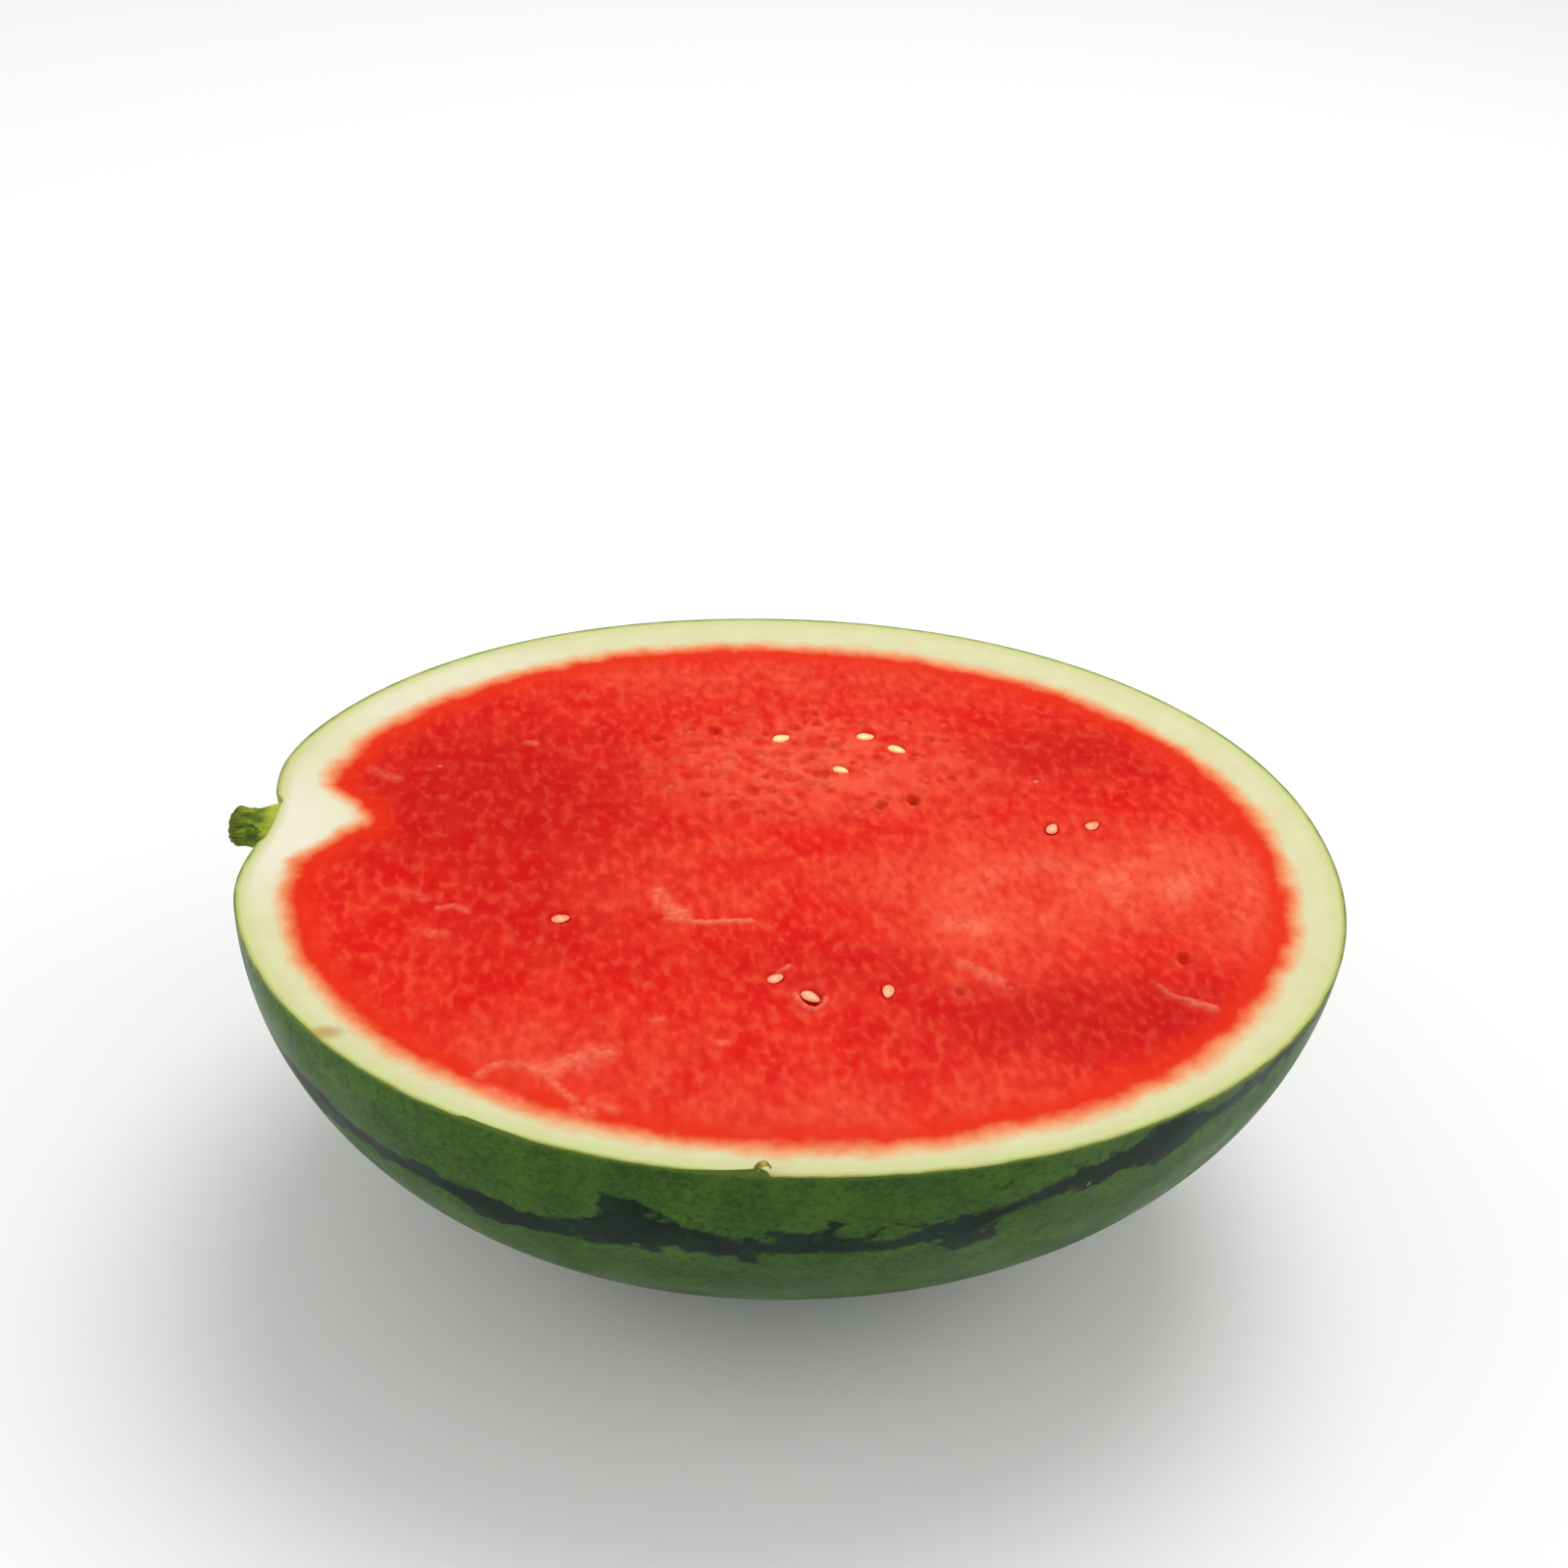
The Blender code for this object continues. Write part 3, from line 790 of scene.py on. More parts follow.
# %% Helpers for nodes
class Finish:
    """A new material and the few kinds of node that its recipe needs."""

    def __init__(self, name):
        self.material = bpy.data.materials.new(name)
        self.material.use_nodes = True
        self.tree = self.material.node_tree
        self.shader = self.tree.nodes["Principled BSDF"]

    def node(self, kind, inputs=None, **settings):
        made = self.tree.nodes.new(kind)
        for name, value in settings.items():
            setattr(made, name, value)
        for socket, value in (inputs or {}).items():
            if isinstance(value, bpy.types.NodeSocket):
                self.tree.links.new(value, made.inputs[socket])
            else:
                made.inputs[socket].default_value = value
        return made

    def place(self, move=(0, 0, 0), scale=(1, 1, 1)):
        """Object coordinates, moved and scaled."""
        coords = self.node("ShaderNodeTexCoord").outputs["Object"]
        inputs = {"Vector": coords, "Location": move, "Scale": scale}
        return self.node("ShaderNodeMapping", inputs).outputs["Vector"]

    def attribute(self, name):
        return self.node("ShaderNodeAttribute", attribute_name=name).outputs["Fac"]

    def sum(self, operation, first, second=0.0, third=0.0):
        inputs = {0: first, 1: second, 2: third}
        return self.node("ShaderNodeMath", inputs, operation=operation).outputs[0]

    def fade(self, value, low, high, start=0.0, end=1.0):
        inputs = {"Value": value, "From Min": low, "From Max": high, "To Min": start, "To Max": end}
        return self.node("ShaderNodeMapRange", inputs, interpolation_type="SMOOTHSTEP").outputs[0]

    def sway(self, value, pattern, most):
        """Moves a value up and down with a pattern, by at most this much."""
        return self.sum("ADD", value, self.sum("MULTIPLY_ADD", pattern, 2 * most, -most))

    def mix(self, share, first, second):
        inputs = {0: share, 6: first, 7: second}
        return self.node("ShaderNodeMix", inputs, data_type="RGBA").outputs[2]

    def tint(self, color, pattern, strength, second):
        """Moves a colour towards a second one where the pattern is strong."""
        return self.mix(self.sum("MULTIPLY", pattern, strength), color, second)

    def noise(self, where, scale, detail=2.0, rough=0.5, twist=0.0):
        inputs = {"Vector": where, "Scale": scale, "Detail": detail, "Roughness": rough}
        inputs["Distortion"] = twist
        return self.node("ShaderNodeTexNoise", inputs).outputs["Fac"]

    def cells(self, where, scale, smoothness=0.2):
        inputs = {"Vector": where, "Scale": scale, "Smoothness": smoothness}
        return self.node("ShaderNodeTexVoronoi", inputs, feature="SMOOTH_F1").outputs["Distance"]

    def bumps(self, *layers):
        """Stacks bump nodes, each given as (height, strength, distance), and gives the last normal."""
        normal = None
        for height, strength, distance in layers:
            inputs = {"Height": height, "Strength": strength, "Distance": distance}
            if normal:
                inputs["Normal"] = normal
            normal = self.node("ShaderNodeBump", inputs).outputs["Normal"]
        return normal

    def link(self, socket, value):
        if isinstance(value, bpy.types.NodeSocket):
            self.tree.links.new(value, self.shader.inputs[socket])
        else:
            self.shader.inputs[socket].default_value = value

    def done(self):
        print(f"{self.material.name}: {len(self.tree.nodes)} nodes")
        return self.material


print("helpers:", ", ".join(name for name in vars(Finish) if not name.startswith("_")))

# %% [markdown]
# ### Soft fields
# Some parts of the cut are paler, deeper or bruised, with no edge that the eye could find. They could be
# painted on, but an oval that fades out from its middle is easier to move and to mix. Each is an entry with
# its middle, its half length and half width in metres, and its strength.

# %% Soft oval fields
LIGHT_FIELDS = (
    (0.078, -0.012, 0.070, 0.026, 1.0),
    (0.118, -0.020, 0.030, 0.030, 1.0),
    (0.046, -0.035, 0.026, 0.026, 0.7),
    (0.012, 0.036, 0.054, 0.024, 0.55),
    (0.000, 0.088, 0.090, 0.018, 0.5),
    (-0.066, -0.074, 0.040, 0.018, 0.5),
    (-0.035, -0.010, 0.030, 0.020, 0.45),
    (0.010, -0.098, 0.080, 0.014, 0.6),
)
DEEP_FIELDS = (
    (-0.082, 0.028, 0.058, 0.048, 1.0),
    (0.070, -0.066, 0.060, 0.020, 1.0),
    (0.085, 0.045, 0.040, 0.022, 0.7),
    (-0.070, -0.030, 0.040, 0.022, 0.5),
    (0.000, -0.045, 0.045, 0.016, 0.5),
)
PIT_NET = ((PIT_FIELD[0], PIT_FIELD[1] - 0.002, PIT_FIELD[2], PIT_FIELD[3], 1.0),)
WHITE_CORE = ((-0.138, 0.014, 0.028, 0.034, 1.0), (-0.100, 0.080, 0.050, 0.036, 0.6))
BRUISE = ((-0.1235, -0.0650, 0.0050, 0.0026, 1.0),)
FIELD_HEART, FIELD_EDGE = 0.15, 1.35  # full strength inside the first, none beyond the second


def soft_fields(finish, where, fields):
    """Adds up soft oval fields into one strength."""
    total = 0.0
    for x, y, long, wide, strength in fields:
        inputs = {"Vector": where, "Location": (-x / long, -y / wide, 0), "Scale": (1 / long, 1 / wide, 0)}
        moved = finish.node("ShaderNodeMapping", inputs).outputs["Vector"]
        away = finish.node("ShaderNodeVectorMath", {0: moved}, operation="LENGTH").outputs["Value"]
        total = finish.sum("ADD", finish.fade(away, FIELD_HEART, FIELD_EDGE, strength, 0.0), total)
    return total


print(len(LIGHT_FIELDS), "light fields and", len(DEEP_FIELDS), "deep ones")

# %% [markdown]
# ### The rind
# From the skin inwards the rind runs through a thin green line, yellow-green and cream, and it is white
# where the core reaches the stalk. An image laid over the cut could show this, but it would blur up close.
# The points already carry their distance from the skin, and fades over that distance are sharp at any size.

# %% The rind's colour
CUT_EDGE_GREEN = linear(92, 108, 34)
YELLOW_GREEN = linear(166, 178, 92)
PALE_GREEN = linear(196, 203, 144)
RIND_CREAM = linear(209, 207, 164)
RIND_TAN = linear(200, 188, 140)
CORE_WHITE = linear(226, 220, 202)
BRUISE_BROWN = linear(170, 110, 46)


def rind_color(cut, where):
    skin = cut.sway(cut.attribute("skin_depth"), cut.noise(where, 160), 0.0003)
    color = cut.mix(cut.fade(skin, 0.0002, 0.0008), CUT_EDGE_GREEN, YELLOW_GREEN)
    color = cut.mix(cut.fade(skin, 0.0006, 0.0019), color, PALE_GREEN)
    color = cut.mix(cut.fade(skin, 0.0018, 0.0060), color, RIND_CREAM)
    color = cut.tint(color, cut.fade(cut.noise(where, 90, 3, 0.6), 0.35, 0.70), 0.35, RIND_TAN)
    core = cut.sum("MULTIPLY", soft_fields(cut, where, WHITE_CORE), cut.fade(skin, 0.0015, 0.0050))
    color = cut.tint(color, core, 0.8, CORE_WHITE)
    return cut.tint(color, soft_fields(cut, where, BRUISE), 0.6, BRUISE_BROWN)


print("the green of the cut edge as light:", [round(value, 3) for value in CUT_EDGE_GREEN[:3]])

# %% [markdown]
# ### The red flesh
# Ripe flesh is no even red. It is deeper at the stalk end, lighter where the fibres lie towards the blossom
# end, and mottled all over in grains of 1 to 4 mm. One noise pattern alone would look like camouflage, so
# the red is built up in layers, from wide zones down to single grains. Over the pitted field comes a net of
# small cells: the walls around the pits.

# %% The flesh's colour
RED = linear(210, 14, 6)
DEEP_RED = linear(186, 0, 3)
LIGHT_RED = linear(224, 76, 50)
BLOTCH_RED = linear(228, 60, 36)
SHRED_PINK = linear(236, 108, 82)
FIBRE_PINK = linear(232, 90, 56)
GRAIN_LIGHT = linear(234, 94, 58)
GRAIN_DARK = linear(190, 0, 2)
CELL_WALL = linear(230, 88, 62)
CELL_DEEP = linear(186, 0, 4)


def flesh_patterns(cut, where):
    """The patterns that both the colour and the bumps of the flesh are made of."""
    along = cut.place(move=(-MIDDLE.x, -0.6 * MIDDLE.y, -MIDDLE.z), scale=(1.0, 0.6, 1.0))
    return {
        "along": along,
        "grain": cut.noise(along, 380, 1),
        "fine grain": cut.noise(along, 900, 1),
        "cells": cut.cells(where, 215, 0.3),
        "net": soft_fields(cut, where, PIT_NET),
    }


def flesh_color(cut, where, patterns):
    along, grain, cells, net = (patterns[name] for name in ("along", "grain", "cells", "net"))
    deep = soft_fields(cut, where, DEEP_FIELDS)
    broad = cut.fade(cut.noise(where, 34, 3, 0.6), 0.34, 0.60, 0.25, 1.1)
    light = cut.sum("MULTIPLY", soft_fields(cut, where, LIGHT_FIELDS), broad)
    color = cut.mix(cut.sum("MINIMUM", deep, 1.0), RED, DEEP_RED)
    color = cut.tint(color, light, 0.80, LIGHT_RED)

    # blotches, shreds, fibres and grains are fainter where the red is deep
    blotch = cut.fade(cut.noise(where, 75, 4, 0.62), 0.36, 0.68)
    color = cut.tint(color, blotch, cut.fade(deep, 0.0, 1.0, 0.48, 0.16), BLOTCH_RED)
    shreds = cut.fade(cut.noise(along, 120, 3, 0.62, 0.6), 0.50, 0.70)
    color = cut.tint(color, shreds, cut.sum("MULTIPLY", light, 0.5), SHRED_PINK)
    fibre = cut.fade(cut.noise(along, 220, 1, 0.5, 0.3), 0.48, 0.74)
    color = cut.tint(color, fibre, cut.fade(deep, 0.0, 1.0, 0.20, 0.12), FIBRE_PINK)
    bright = cut.fade(grain, 0.48, 0.72)
    color = cut.tint(color, bright, cut.fade(deep, 0.0, 1.0, 0.30, 0.20), GRAIN_LIGHT)
    color = cut.tint(color, cut.fade(grain, 0.50, 0.28), 0.36, GRAIN_DARK)

    patchy = cut.sum("MULTIPLY", net, cut.fade(cut.noise(where, 150), 0.36, 0.60, 0.10, 0.75))
    color = cut.tint(color, cut.fade(cells, 0.30, 0.52), patchy, CELL_WALL)
    return cut.tint(color, cut.fade(cells, 0.30, 0.08), cut.sum("MULTIPLY", net, 0.65), CELL_DEEP)


print("the deepest red as light:", [round(value, 3) for value in DEEP_RED[:3]])

# %% [markdown]
# ### The finish of the cut face
# Rind and flesh meet in a ragged edge with a blush of orange. Two separate meshes would show a hard seam
# there, so one material covers both: noise moves the distance into the flesh to and fro, and fades over that
# distance join the colours. Pits and pockets are darkened a little with painted shade, torn fibres are paled,
# and the pits' lips get a faint painted highlight. The flesh is moist but not oily: a soft gloss, with fine
# bumps that break it up, and a little light passes through it.

# %% Make the finish of the cut face
ORANGE_RED = linear(217, 40, 2)
BLUSH = linear(226, 150, 100)
# the colour of the painted shade in pits and pockets
PAINTED_SHADE_RED = linear(150, 0, 2)
# pale torn fibres and seeds, and a painted highlight on the pits' lips
TORN_PINK_AND_HIGHLIGHT = linear(240, 140, 108)


def make_cut_finish():
    cut = Finish("cut_flesh_and_rind")
    where = cut.place(move=tuple(-MIDDLE))
    flesh = cut.sway(cut.attribute("flesh_depth"), cut.noise(where, 120, 3, 0.6), 0.0028)
    flesh = cut.sway(flesh, cut.noise(where, 38), 0.0020)
    patterns = flesh_patterns(cut, where)

    red = cut.mix(cut.fade(flesh, 0.001, 0.013), ORANGE_RED, flesh_color(cut, where, patterns))
    edge = cut.mix(cut.fade(flesh, -0.0046, 0.0004), rind_color(cut, where), BLUSH)
    color = cut.mix(cut.fade(flesh, -0.0016, 0.0036), edge, red)
    # painted shade darkens the pits and pockets
    color = cut.tint(color, cut.attribute("dark"), 0.62, PAINTED_SHADE_RED)
    # torn fibres and seeds are paled, and the pits' lips get a painted highlight
    patchy = cut.fade(cut.noise(where, 240), 0.34, 0.58, 0.55, 1.0)
    pale = cut.sum("MULTIPLY", cut.attribute("pale"), patchy)
    cut.link("Base Color", cut.tint(color, pale, 0.80, TORN_PINK_AND_HIGHLIGHT))

    cut.link("Roughness", cut.fade(cut.noise(where, 90), 0.35, 0.7, 0.38, 0.55))
    cut.link("Specular IOR Level", 0.06)
    cut.link("Subsurface Weight", 0.10)
    cut.link("Subsurface Radius", (0.006, 0.0018, 0.0012))
    cut.link("Subsurface Scale", 0.5)
    in_flesh = cut.fade(flesh, 0.0, 0.006, 0.25, 1.0)
    net_height = cut.sum("MULTIPLY", cut.fade(patterns["cells"], 0.0, 0.5), patterns["net"])
    grain_height = cut.sum("MULTIPLY", patterns["grain"], in_flesh)
    fine_height = cut.sum("MULTIPLY", patterns["fine grain"], in_flesh)
    layers = ((net_height, 0.35, 0.0006), (grain_height, 0.25, 0.0007), (fine_height, 0.12, 0.0003))
    cut.link("Normal", cut.bumps(*layers))
    return cut.done()


CUT_FINISH = make_cut_finish()

# %% [markdown]
# ### The stripes
# The stripes run from stalk to blossom end. An unwrapped image would show its seams at both ends. Turning
# around the long axis gives an angle without any seam: it is 0 at the front edge of the cut, and the dark
# stripes come at even steps of it. A rounded cell pattern pushes the light bands outwards in lobes, which
# gives the scalloped edges of the real skin. Noise bends the stripes and frays them.

# %% Lay out the stripes
STRIPES = 6.0  # dark stripes over the half turn below the cut
FIRST_STRIPE = 0.44  # where the first one lies, counted in stripes from the front edge
LOBE_PATTERNS = ((58, 0.06, 0.32), (170, 0.05, 0.14))  # scale, smoothness and reach


def turn_around(skin, parts):
    """The turn around the long axis, 0 at the front edge and 1 at the back. At the stalk it centres there."""
    towards_stalk = skin.fade(parts["X"], -0.03, -0.142)
    side = skin.sum("MULTIPLY_ADD", towards_stalk, -STALK_SIDE, parts["Y"])
    down = skin.sum("MULTIPLY_ADD", towards_stalk, STALK_DROP, parts["Z"])
    turn = skin.sum("ARCTAN2", side, skin.sum("MULTIPLY", down, -1.0))
    return skin.sum("MULTIPLY_ADD", turn, 1 / math.pi, 0.5)


def off_stripe(skin, where, parts, turn):
    """How far a place lies from the middle of its dark stripe. The front one climbs at the blossom end."""
    front = skin.fade(turn, 0.10, 0.45, 1.0, 0.0)
    both_ends = skin.sum("MULTIPLY", skin.sum("ABSOLUTE", parts["X"]), 1.1)
    climb = skin.sum("MULTIPLY_ADD", parts["X"], 2.2, both_ends)
    count = skin.sum("MULTIPLY_ADD", turn, STRIPES, skin.sum("MULTIPLY", climb, front))
    count = skin.sway(count, skin.noise(where, 22), 0.25)
    step = skin.sum("FRACT", skin.sum("ADD", count, 0.5 - FIRST_STRIPE))
    return skin.sum("ABSOLUTE", skin.sum("SUBTRACT", step, 0.5))


def stripe_width(skin, where, turn, fray):
    """Half the width of the dark stripe here, counted in stripes, with lobes and frayed edges."""
    width = skin.fade(turn, 0.10, 0.42, -0.222, -0.085)
    width = skin.sway(width, skin.noise(where, 30, 1), 0.05)
    stretched = skin.place(move=(-0.8 * MIDDLE.x, -MIDDLE.y, -MIDDLE.z), scale=(0.8, 1, 1))
    for scale, smoothness, reach in LOBE_PATTERNS:
        width = skin.sum("MULTIPLY_ADD", skin.cells(stretched, scale, smoothness), reach, width)
    width = skin.sum("MULTIPLY_ADD", fray, 0.11, width)
    return skin.sum("MAXIMUM", width, skin.sum("MULTIPLY_ADD", fray, 0.09, 0.005))


print("a dark stripe every", round(180 / STRIPES), "degrees")

# %% [markdown]
# ### The finish of the skin
# Light bands are a broken green with darker veins and speckles. Dark stripes carry a bluish bloom of wax and
# a few pale flecks. Two materials would need the mesh cut along every lobe, so one material holds both and
# mixes them by the layout above. A pale yellowish ring surrounds the stalk, there are a few corky scratches,
# and the cut edge has a yellow-green cast. The skin is waxy, so its gloss is dull and its bumps are small.

# %% Make the finish of the skin
BAND_GREENS = linear(42, 78, 16), linear(62, 98, 24)
VEIN_GREEN = linear(32, 62, 16)
MOTTLE_GREEN = linear(76, 112, 38)
SPECK_GREEN = linear(24, 50, 14)
STRIPE_GREENS = linear(0, 22, 8), linear(4, 42, 28)
FLECK_GREEN = linear(34, 70, 38)
RING_YELLOW = linear(170, 182, 96)
CORK_BROWN = linear(150, 132, 96)
RIM_GREEN = linear(104, 124, 40)


def light_band_color(skin, where):
    color = skin.mix(skin.fade(skin.noise(where, 60), 0.35, 0.7), *BAND_GREENS)
    vein = skin.fade(skin.noise(where, 260, 4, 0.7, 1.2), 0.44, 0.62)
    color = skin.tint(color, vein, 0.62, VEIN_GREEN)
    mottle = skin.fade(skin.noise(where, 620, 2, 0.6), 0.40, 0.62, 0.0, 0.30)
    color = skin.mix(mottle, color, MOTTLE_GREEN)
    return skin.tint(color, skin.fade(skin.cells(where, 300, 0.0), 0.28, 0.12), 0.5, SPECK_GREEN)


def dark_stripe_color(skin, where):
    color = skin.mix(skin.fade(skin.noise(where, 55, 4, 0.6), 0.40, 0.72), *STRIPE_GREENS)
    return skin.tint(color, skin.fade(skin.noise(where, 190, 3, 0.7, 0.8), 0.56, 0.72), 0.55, FLECK_GREEN)


def make_skin_finish():
    skin = Finish("striped_skin")
    where = skin.place(move=tuple(-MIDDLE))
    parts = skin.node("ShaderNodeSeparateXYZ", {0: where}).outputs
    turn = turn_around(skin, parts)
    width = stripe_width(skin, where, turn, skin.noise(where, 420, 3, 0.65))
    light = skin.fade(skin.sum("SUBTRACT", off_stripe(skin, where, parts, turn), width), -0.022, 0.024)
    color = skin.mix(light, dark_stripe_color(skin, where), light_band_color(skin, where))

    ends = {0: skin.place(), 1: tuple(SEAT.translation + MIDDLE)}
    away = skin.node("ShaderNodeVectorMath", ends, operation="DISTANCE").outputs["Value"]
    color = skin.tint(color, skin.fade(away, 0.026, 0.009), 0.75, RING_YELLOW)
    scratches = skin.noise(skin.place(scale=(1.0, 0.35, 0.35)), 120, 2, 0.5, 2.5)
    color = skin.tint(color, skin.fade(scratches, 0.74, 0.77), 0.5, CORK_BROWN)
    color = skin.tint(color, skin.fade(parts["Z"], -0.0016, 0.0002), 0.55, RIM_GREEN)
    skin.link("Base Color", color)

    skin.link("Roughness", skin.fade(skin.noise(where, 45, 3), 0.3, 0.75, 0.34, 0.50))
    skin.link("Specular IOR Level", 0.10)
    dents, pores = skin.noise(where, 26), skin.noise(where, 700)
    skin.link("Normal", skin.bumps((dents, 0.35, 0.004), (light, 0.12, 0.0004), (pores, 0.12, 0.0003)))
    return skin.done()


SKIN_FINISH = make_skin_finish()
finish_piece(melon, "melon", (SKIN_FINISH, CUT_FINISH), replaces=("melon_half",), sharp=50)

# %% [markdown]
# ## The seeds
# These seeds never ripened: small, flat, cream coloured eggs with a blunt end and a pointed one. Lofting
# rings would give each seed full control of its outline, but a ball already has the right ends. So each
# seed is a ball drawn out along its length, narrowed towards the point and thinned towards its rim. The
# four in the pitted field are clean and cream. The others have taken on some of the flesh's colour.

# %% Make the seeds
SEED_POINT = 0.34  # how much narrower the pointed end is
SEED_RIM = 0.35  # how much thinner the rim is
SEED_AROUND, SEED_ALONG = 28, 16
SEED_GLOSS = 0.30
BARE_SEEDS = 4


def make_seed_finish(name, body, rim):
    coat = Finish(name)
    where = coat.place()
    cloud = coat.fade(coat.noise(where, 420, 3), 0.35, 0.7)
    coat.link("Base Color", coat.mix(cloud, body, rim))
    coat.link("Roughness", SEED_GLOSS)
    coat.link("Specular IOR Level", 0.5)
    coat.link("Subsurface Weight", 0.15)
    coat.link("Subsurface Radius", (0.002, 0.0012, 0.0006))
    coat.link("Normal", coat.bumps((coat.noise(where, 1500), 0.2, 0.0002)))
    return coat.done()


def make_seed(seed):
    shape = bmesh.new()
    bmesh.ops.create_uvsphere(shape, u_segments=SEED_AROUND, v_segments=SEED_ALONG, radius=1.0)
    for vert in shape.verts:
        narrow = 1 - SEED_POINT * ((vert.co.x + 1) / 2) ** 1.5
        thin = 1 - SEED_RIM * math.hypot(vert.co.x, vert.co.y) ** 4
        vert.co.y *= narrow
        vert.co.z *= narrow * thin
    half_sizes = Vector((seed["length"], seed["width"], seed["thickness"])) / 2
    bmesh.ops.scale(shape, vec=half_sizes, verts=shape.verts)
    shape.transform(Matrix.Translation(seed["middle"] + MIDDLE) @ Matrix.Rotation(seed["turn"], 4, "Z"))
    bmesh.ops.recalc_face_normals(shape, faces=shape.faces)
    return shape


CLEAN_COAT = make_seed_finish("seed_coat_cream", linear(255, 222, 150), linear(240, 190, 112))
BLUSHED_COAT = make_seed_finish("seed_coat_blushed", linear(255, 176, 132), linear(244, 132, 92))
for number, seed in enumerate(SEEDS):
    coat = CLEAN_COAT if number < BARE_SEEDS else BLUSHED_COAT
    finish_piece(make_seed(seed), "pale_" + seed["name"], (coat,), replaces=(seed["name"],))

# %% [markdown]
# ## The stalk
# The stub is a ridged cord of fibres that flares where it grows into the rind. Spinning a profile would
# make it perfectly round, and it isn't. So it is a stack of rings, and each is ridged and roughened by
# noise. The last rings run inwards over the broken end, which is scooped out a little.

# %% The stalk's rings
STALK_LENGTH = 0.0115
STALK_WAIST = 0.0053
STALK_FLARE = 0.0025
STALK_SWELLING = 0.0004
STALK_ROUNDING = 0.0014
STALK_TAPER = 0.0007
STALK_RINGS = 36
STALK_RIDGES = 5
RIDGE_VALLEY, RIDGE_CREST = 0.00050, 0.00030
STALK_BENDS, STALK_GRAIN, STALK_BREAK = 0.00030, 0.00012, 0.0006  # how rough it is
# how wide and how deep each ring of the broken end is
STALK_SCOOP = (
    (0.93, -0.0001),
    (0.84, 0.0001),
    (0.70, 0.0004),
    (0.50, 0.0007),
    (0.28, 0.0008),
    (0.10, 0.0006),
)


def stalk_radius(share):
    """The stalk's radius along its length: a wide flare, a waist, and a slightly swollen broken end."""
    flare = STALK_FLARE * (1 - smooth_step(0.0, 0.50, share))
    swelling = STALK_SWELLING * smooth_step(0.70, 0.88, share)
    rounding = STALK_ROUNDING * smooth_step(0.90, 1.0, share)
    return STALK_WAIST + flare + swelling - rounding - STALK_TAPER * share


def rough_stalk_point(point):
    """A point of the plain stalk, whose z counts the rings, brought to its place on the rough one."""
    share = min(1.0, point.z / STALK_RINGS)
    scoop = max(0, round(point.z) - STALK_RINGS)
    narrower, deeper = STALK_SCOOP[scoop - 1] if scoop else (1.0, 0.0)
    turn = math.atan2(point.y, point.x)
    ridge = math.cos(STALK_RIDGES * turn + 0.5 * share)
    radius = stalk_radius(share) + RIDGE_VALLEY * (1 - abs(ridge)) + RIDGE_CREST * ridge
    spot = Vector((2 * math.cos(turn), 2 * math.sin(turn), 3 * share))
    radius += STALK_BENDS * noise.noise(spot * 2.1) + STALK_GRAIN * noise.noise(spot * 9)
    radius *= narrower * math.hypot(point.x, point.y)
    height = STALK_LENGTH * share - deeper
    height += STALK_BREAK * share * noise.noise(spot * 1.3) * narrower
    return Vector((radius * math.cos(turn), radius * math.sin(turn), height))


foot, waist = 2000 * stalk_radius(0.0), 2000 * stalk_radius(0.6)
print(f"the stalk is {foot:.1f} mm wide at its foot and {waist:.1f} mm at its waist")

# %% [markdown]
# The rings are extruded one from the next out of a circle, which keeps them joined from the start. The
# knife that halved the melon also shaved the top of the stub, so the mesh is cut level there and closed.

# %% Make the stalk
STALK_SIDES = 120


def make_stalk():
    shape = bmesh.new()
    ring = bmesh.ops.create_circle(shape, segments=STALK_SIDES, radius=1.0)["verts"]
    edges = list({edge for vert in ring for edge in vert.link_edges})
    bmesh.ops.contextual_create(shape, geom=edges)
    for number in range(1, STALK_RINGS + len(STALK_SCOOP) + 1):
        made = bmesh.ops.extrude_edge_only(shape, edges=edges)["geom"]
        edges = [piece for piece in made if isinstance(piece, bmesh.types.BMEdge)]
        ring = [piece for piece in made if isinstance(piece, bmesh.types.BMVert)]
        for vert in ring:
            vert.co.z = number
    end = bmesh.ops.contextual_create(shape, geom=edges)["faces"]
    bmesh.ops.poke(shape, faces=end)
    for vert in shape.verts:
        vert.co = rough_stalk_point(vert.co)
    shape.transform(Matrix.Translation(MIDDLE) @ SEAT)
    cut = bmesh.ops.bisect_plane(
        shape,
        geom=shape.verts[:] + shape.edges[:] + shape.faces[:],
        plane_co=MIDDLE,
        plane_no=(0, 0, 1),
        clear_outer=True,
    )
    rim = [piece for piece in cut["geom_cut"] if isinstance(piece, bmesh.types.BMEdge)]
    bmesh.ops.contextual_create(shape, geom=rim)
    bmesh.ops.triangulate(shape, faces=[face for face in shape.faces if len(face.verts) > 4])
    bmesh.ops.recalc_face_normals(shape, faces=shape.faces)
    print(len(shape.verts), "points in the stalk")
    return shape


stalk_shape = make_stalk()

# %% [markdown]
# Close up, the stub is a bundle of dry fibres. Drawing each one as geometry would cost a lot for a piece of
# 15 mm, so a noise stretched along the stalk makes them, both in the colour and as bumps. It is brownish at
# its broken end and yellow-green where it joins the rind.

# %% The finish of the stalk
STALK_GREENS = linear(72, 96, 10), linear(134, 152, 34)
FIBRE_SHADE = linear(34, 50, 4)
DRY_BROWN = linear(70, 70, 22)
FOOT_YELLOW = linear(184, 190, 60)


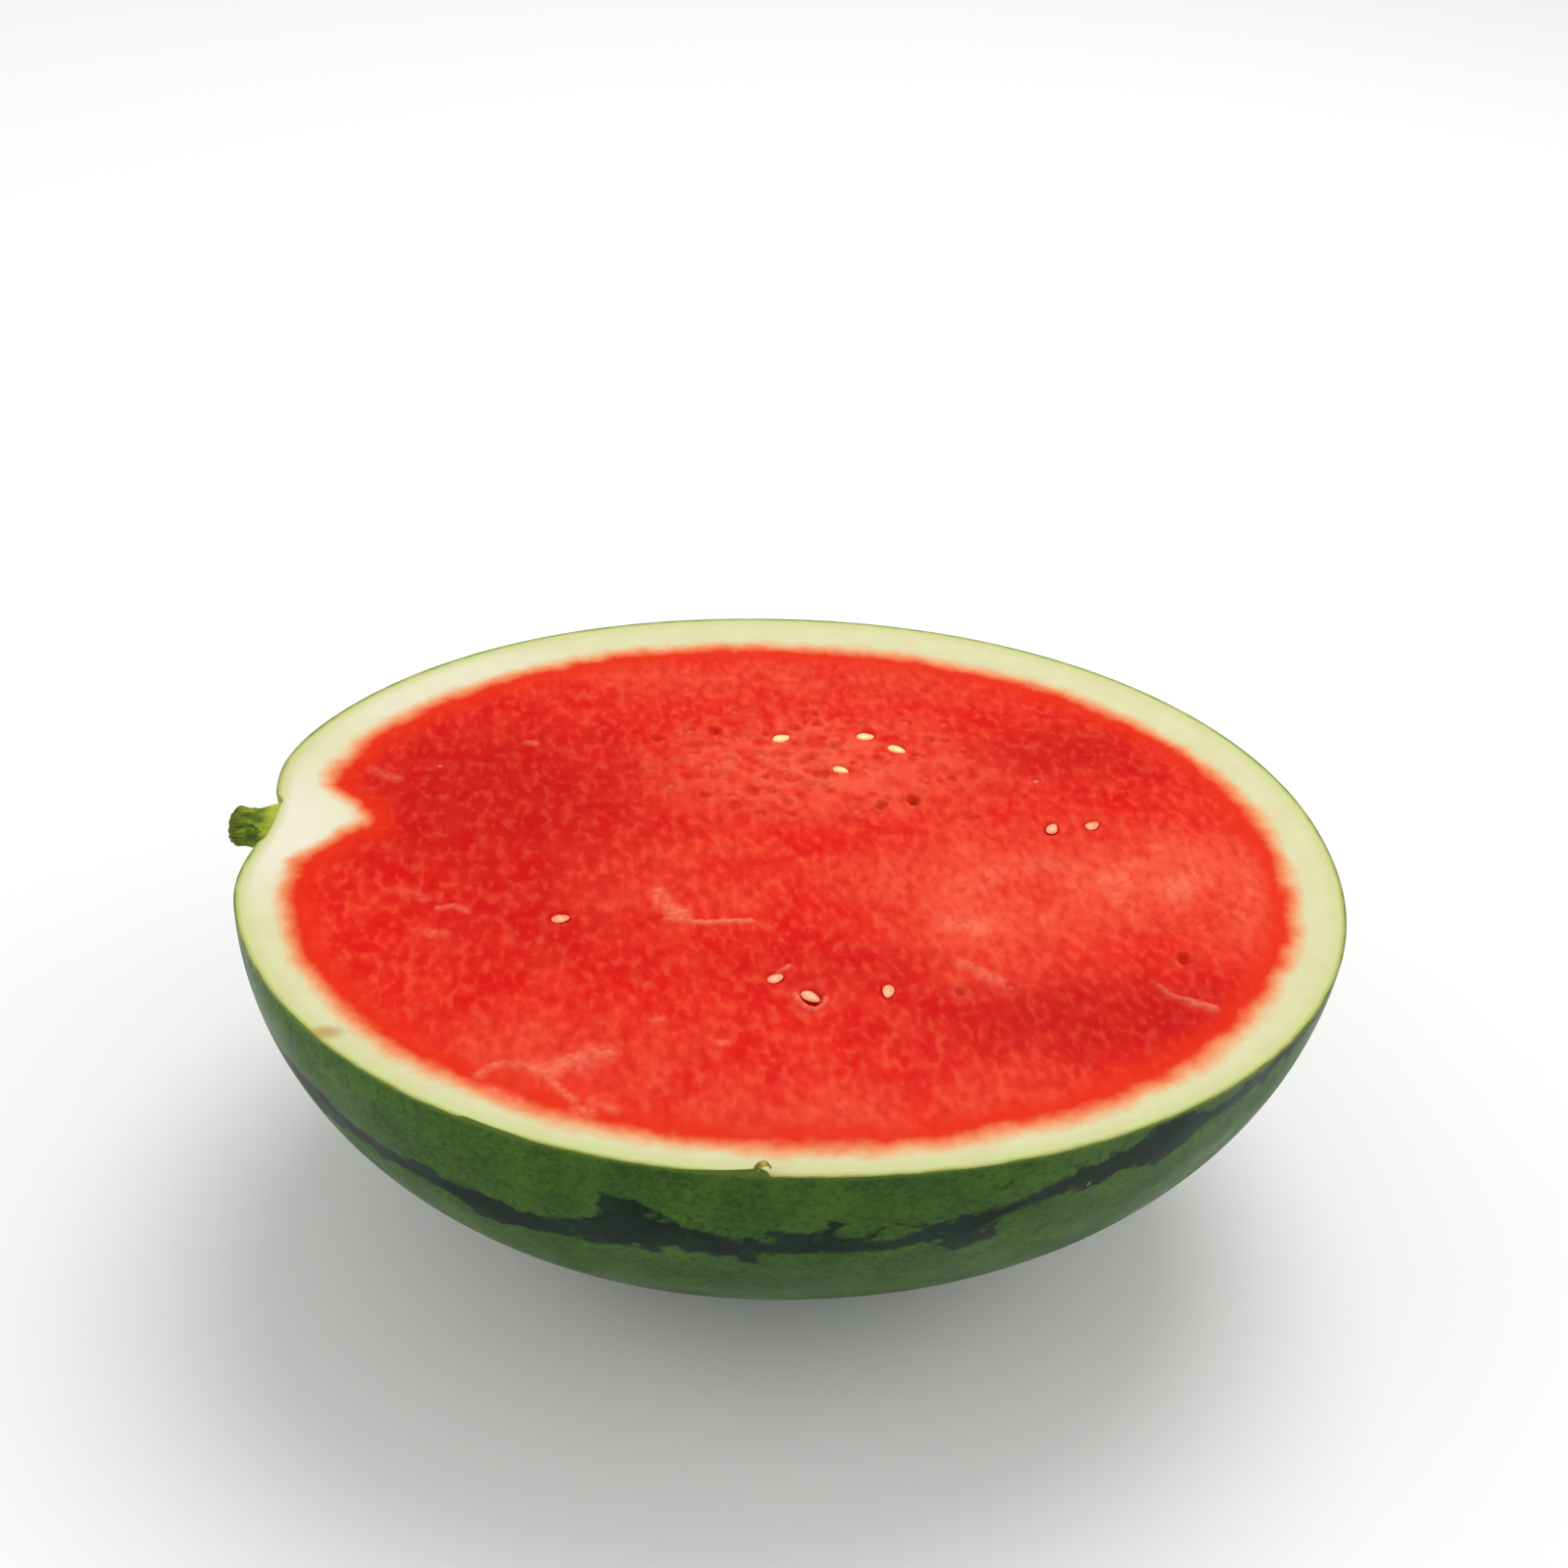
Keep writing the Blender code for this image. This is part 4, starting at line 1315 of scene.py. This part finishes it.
def make_stalk_finish():
    stalk = Finish("stalk_fibres")
    where = stalk.place()
    fibres = stalk.noise(stalk.place(scale=(0.18, 1, 1)), 900, 4, 0.6)
    color = stalk.mix(stalk.fade(stalk.noise(where, 260, 3), 0.35, 0.68), *STALK_GREENS)
    color = stalk.mix(stalk.fade(fibres, 0.45, 0.70), color, FIBRE_SHADE)
    along = stalk.node("ShaderNodeSeparateXYZ", {0: where}).outputs["X"]
    seat = (SEAT.translation + MIDDLE).x
    color = stalk.tint(color, stalk.fade(along, seat - 0.0075, seat - 0.0120), 0.6, DRY_BROWN)
    color = stalk.tint(color, stalk.fade(along, seat - 0.0040, seat - 0.0002), 0.7, FOOT_YELLOW)
    stalk.link("Base Color", color)
    stalk.link("Roughness", 0.62)
    stalk.link("Specular IOR Level", 0.15)
    stalk.link("Normal", stalk.bumps((fibres, 0.6, 0.0005), (stalk.noise(where, 1400), 0.3, 0.0003)))
    return stalk.done()


STALK_FINISH = make_stalk_finish()
finish_piece(stalk_shape, "stalk_stub", (STALK_FINISH,), replaces=("stem_stub",), sharp=60)

# %% [markdown]
# ## The curl of skin
# Where the knife left the longer flap, its end has rolled up into a tiny curl that has dried to a brownish
# yellow. A cloth simulation could roll it up, but for a strip of 1.6 mm a simpler way does: a thin
# rectangle, spun most of the way round while it drifts sideways, and pinched at its free end.

# %% Make the curl
CURL_RADIUS = 0.0015
CURL_WIDTH = 0.0016
CURL_THICKNESS = 0.0004
CURL_DRIFT = (0, 0.00005, 0.00004)  # at each step of the spin
CURL_TURN = math.radians(-230)
CURL_STEPS = 18
CURL_TIP = 0.3  # how much of its thickness the free end keeps
CURL_PLACE = (-0.0008, 0.0010, 0.0016)  # from the start of the flap
CURL_AIM = math.radians(25)


def make_curl():
    shape = bmesh.new()
    made = bmesh.ops.create_grid(shape, x_segments=1, y_segments=1, size=0.5)["verts"]
    bmesh.ops.scale(shape, vec=(CURL_THICKNESS, CURL_WIDTH, 1), verts=made)
    bmesh.ops.translate(shape, vec=(CURL_RADIUS, 0, 0), verts=made)
    turned = bmesh.ops.spin(
        shape,
        geom=shape.faces[:],
        cent=(0, 0, 0),
        axis=(0, 1, 0),
        dvec=CURL_DRIFT,
        angle=CURL_TURN,
        steps=CURL_STEPS,
    )
    end = [piece for piece in turned["geom_last"] if isinstance(piece, bmesh.types.BMVert)]
    tip = sum((vert.co for vert in end), Vector()) / len(end)
    bmesh.ops.scale(shape, vec=(CURL_TIP,) * 3, space=Matrix.Translation(-tip), verts=end)
    bmesh.ops.recalc_face_normals(shape, faces=shape.faces)
    flap_start = FLAPS[0][0]
    edge = HALF_WIDTH * (1 - (abs(flap_start) / HALF_LENGTH) ** FULLNESS) ** (1 / FULLNESS)
    place = MIDDLE + Vector((flap_start, -edge, 0)) + Vector(CURL_PLACE)
    shape.transform(Matrix.Translation(place) @ Matrix.Rotation(CURL_AIM, 4, "Z"))
    return shape


def make_curl_finish():
    curl = Finish("dried_skin")
    where = curl.place()
    patch = curl.fade(curl.noise(where, 700, 2), 0.35, 0.65)
    curl.link("Base Color", curl.mix(patch, linear(112, 104, 28), linear(168, 150, 66)))
    curl.link("Roughness", 0.6)
    curl.link("Specular IOR Level", 0.2)
    return curl.done()


finish_piece(make_curl(), "skin_curl", (make_curl_finish(),), sharp=40)

# %% [markdown]
# ## The size of the dressed melon
# The dressed melon has to stay the size of the measured one. Both boxes are printed, so that they can be
# compared.

# %% Print the boxes
VISUAL_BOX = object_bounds()
for name, box in (("measured", CAD_BOX), ("dressed", VISUAL_BOX)):
    print(name, "size in mm:", [round(1000 * (box[1][axis] - box[0][axis]), 1) for axis in range(3)])
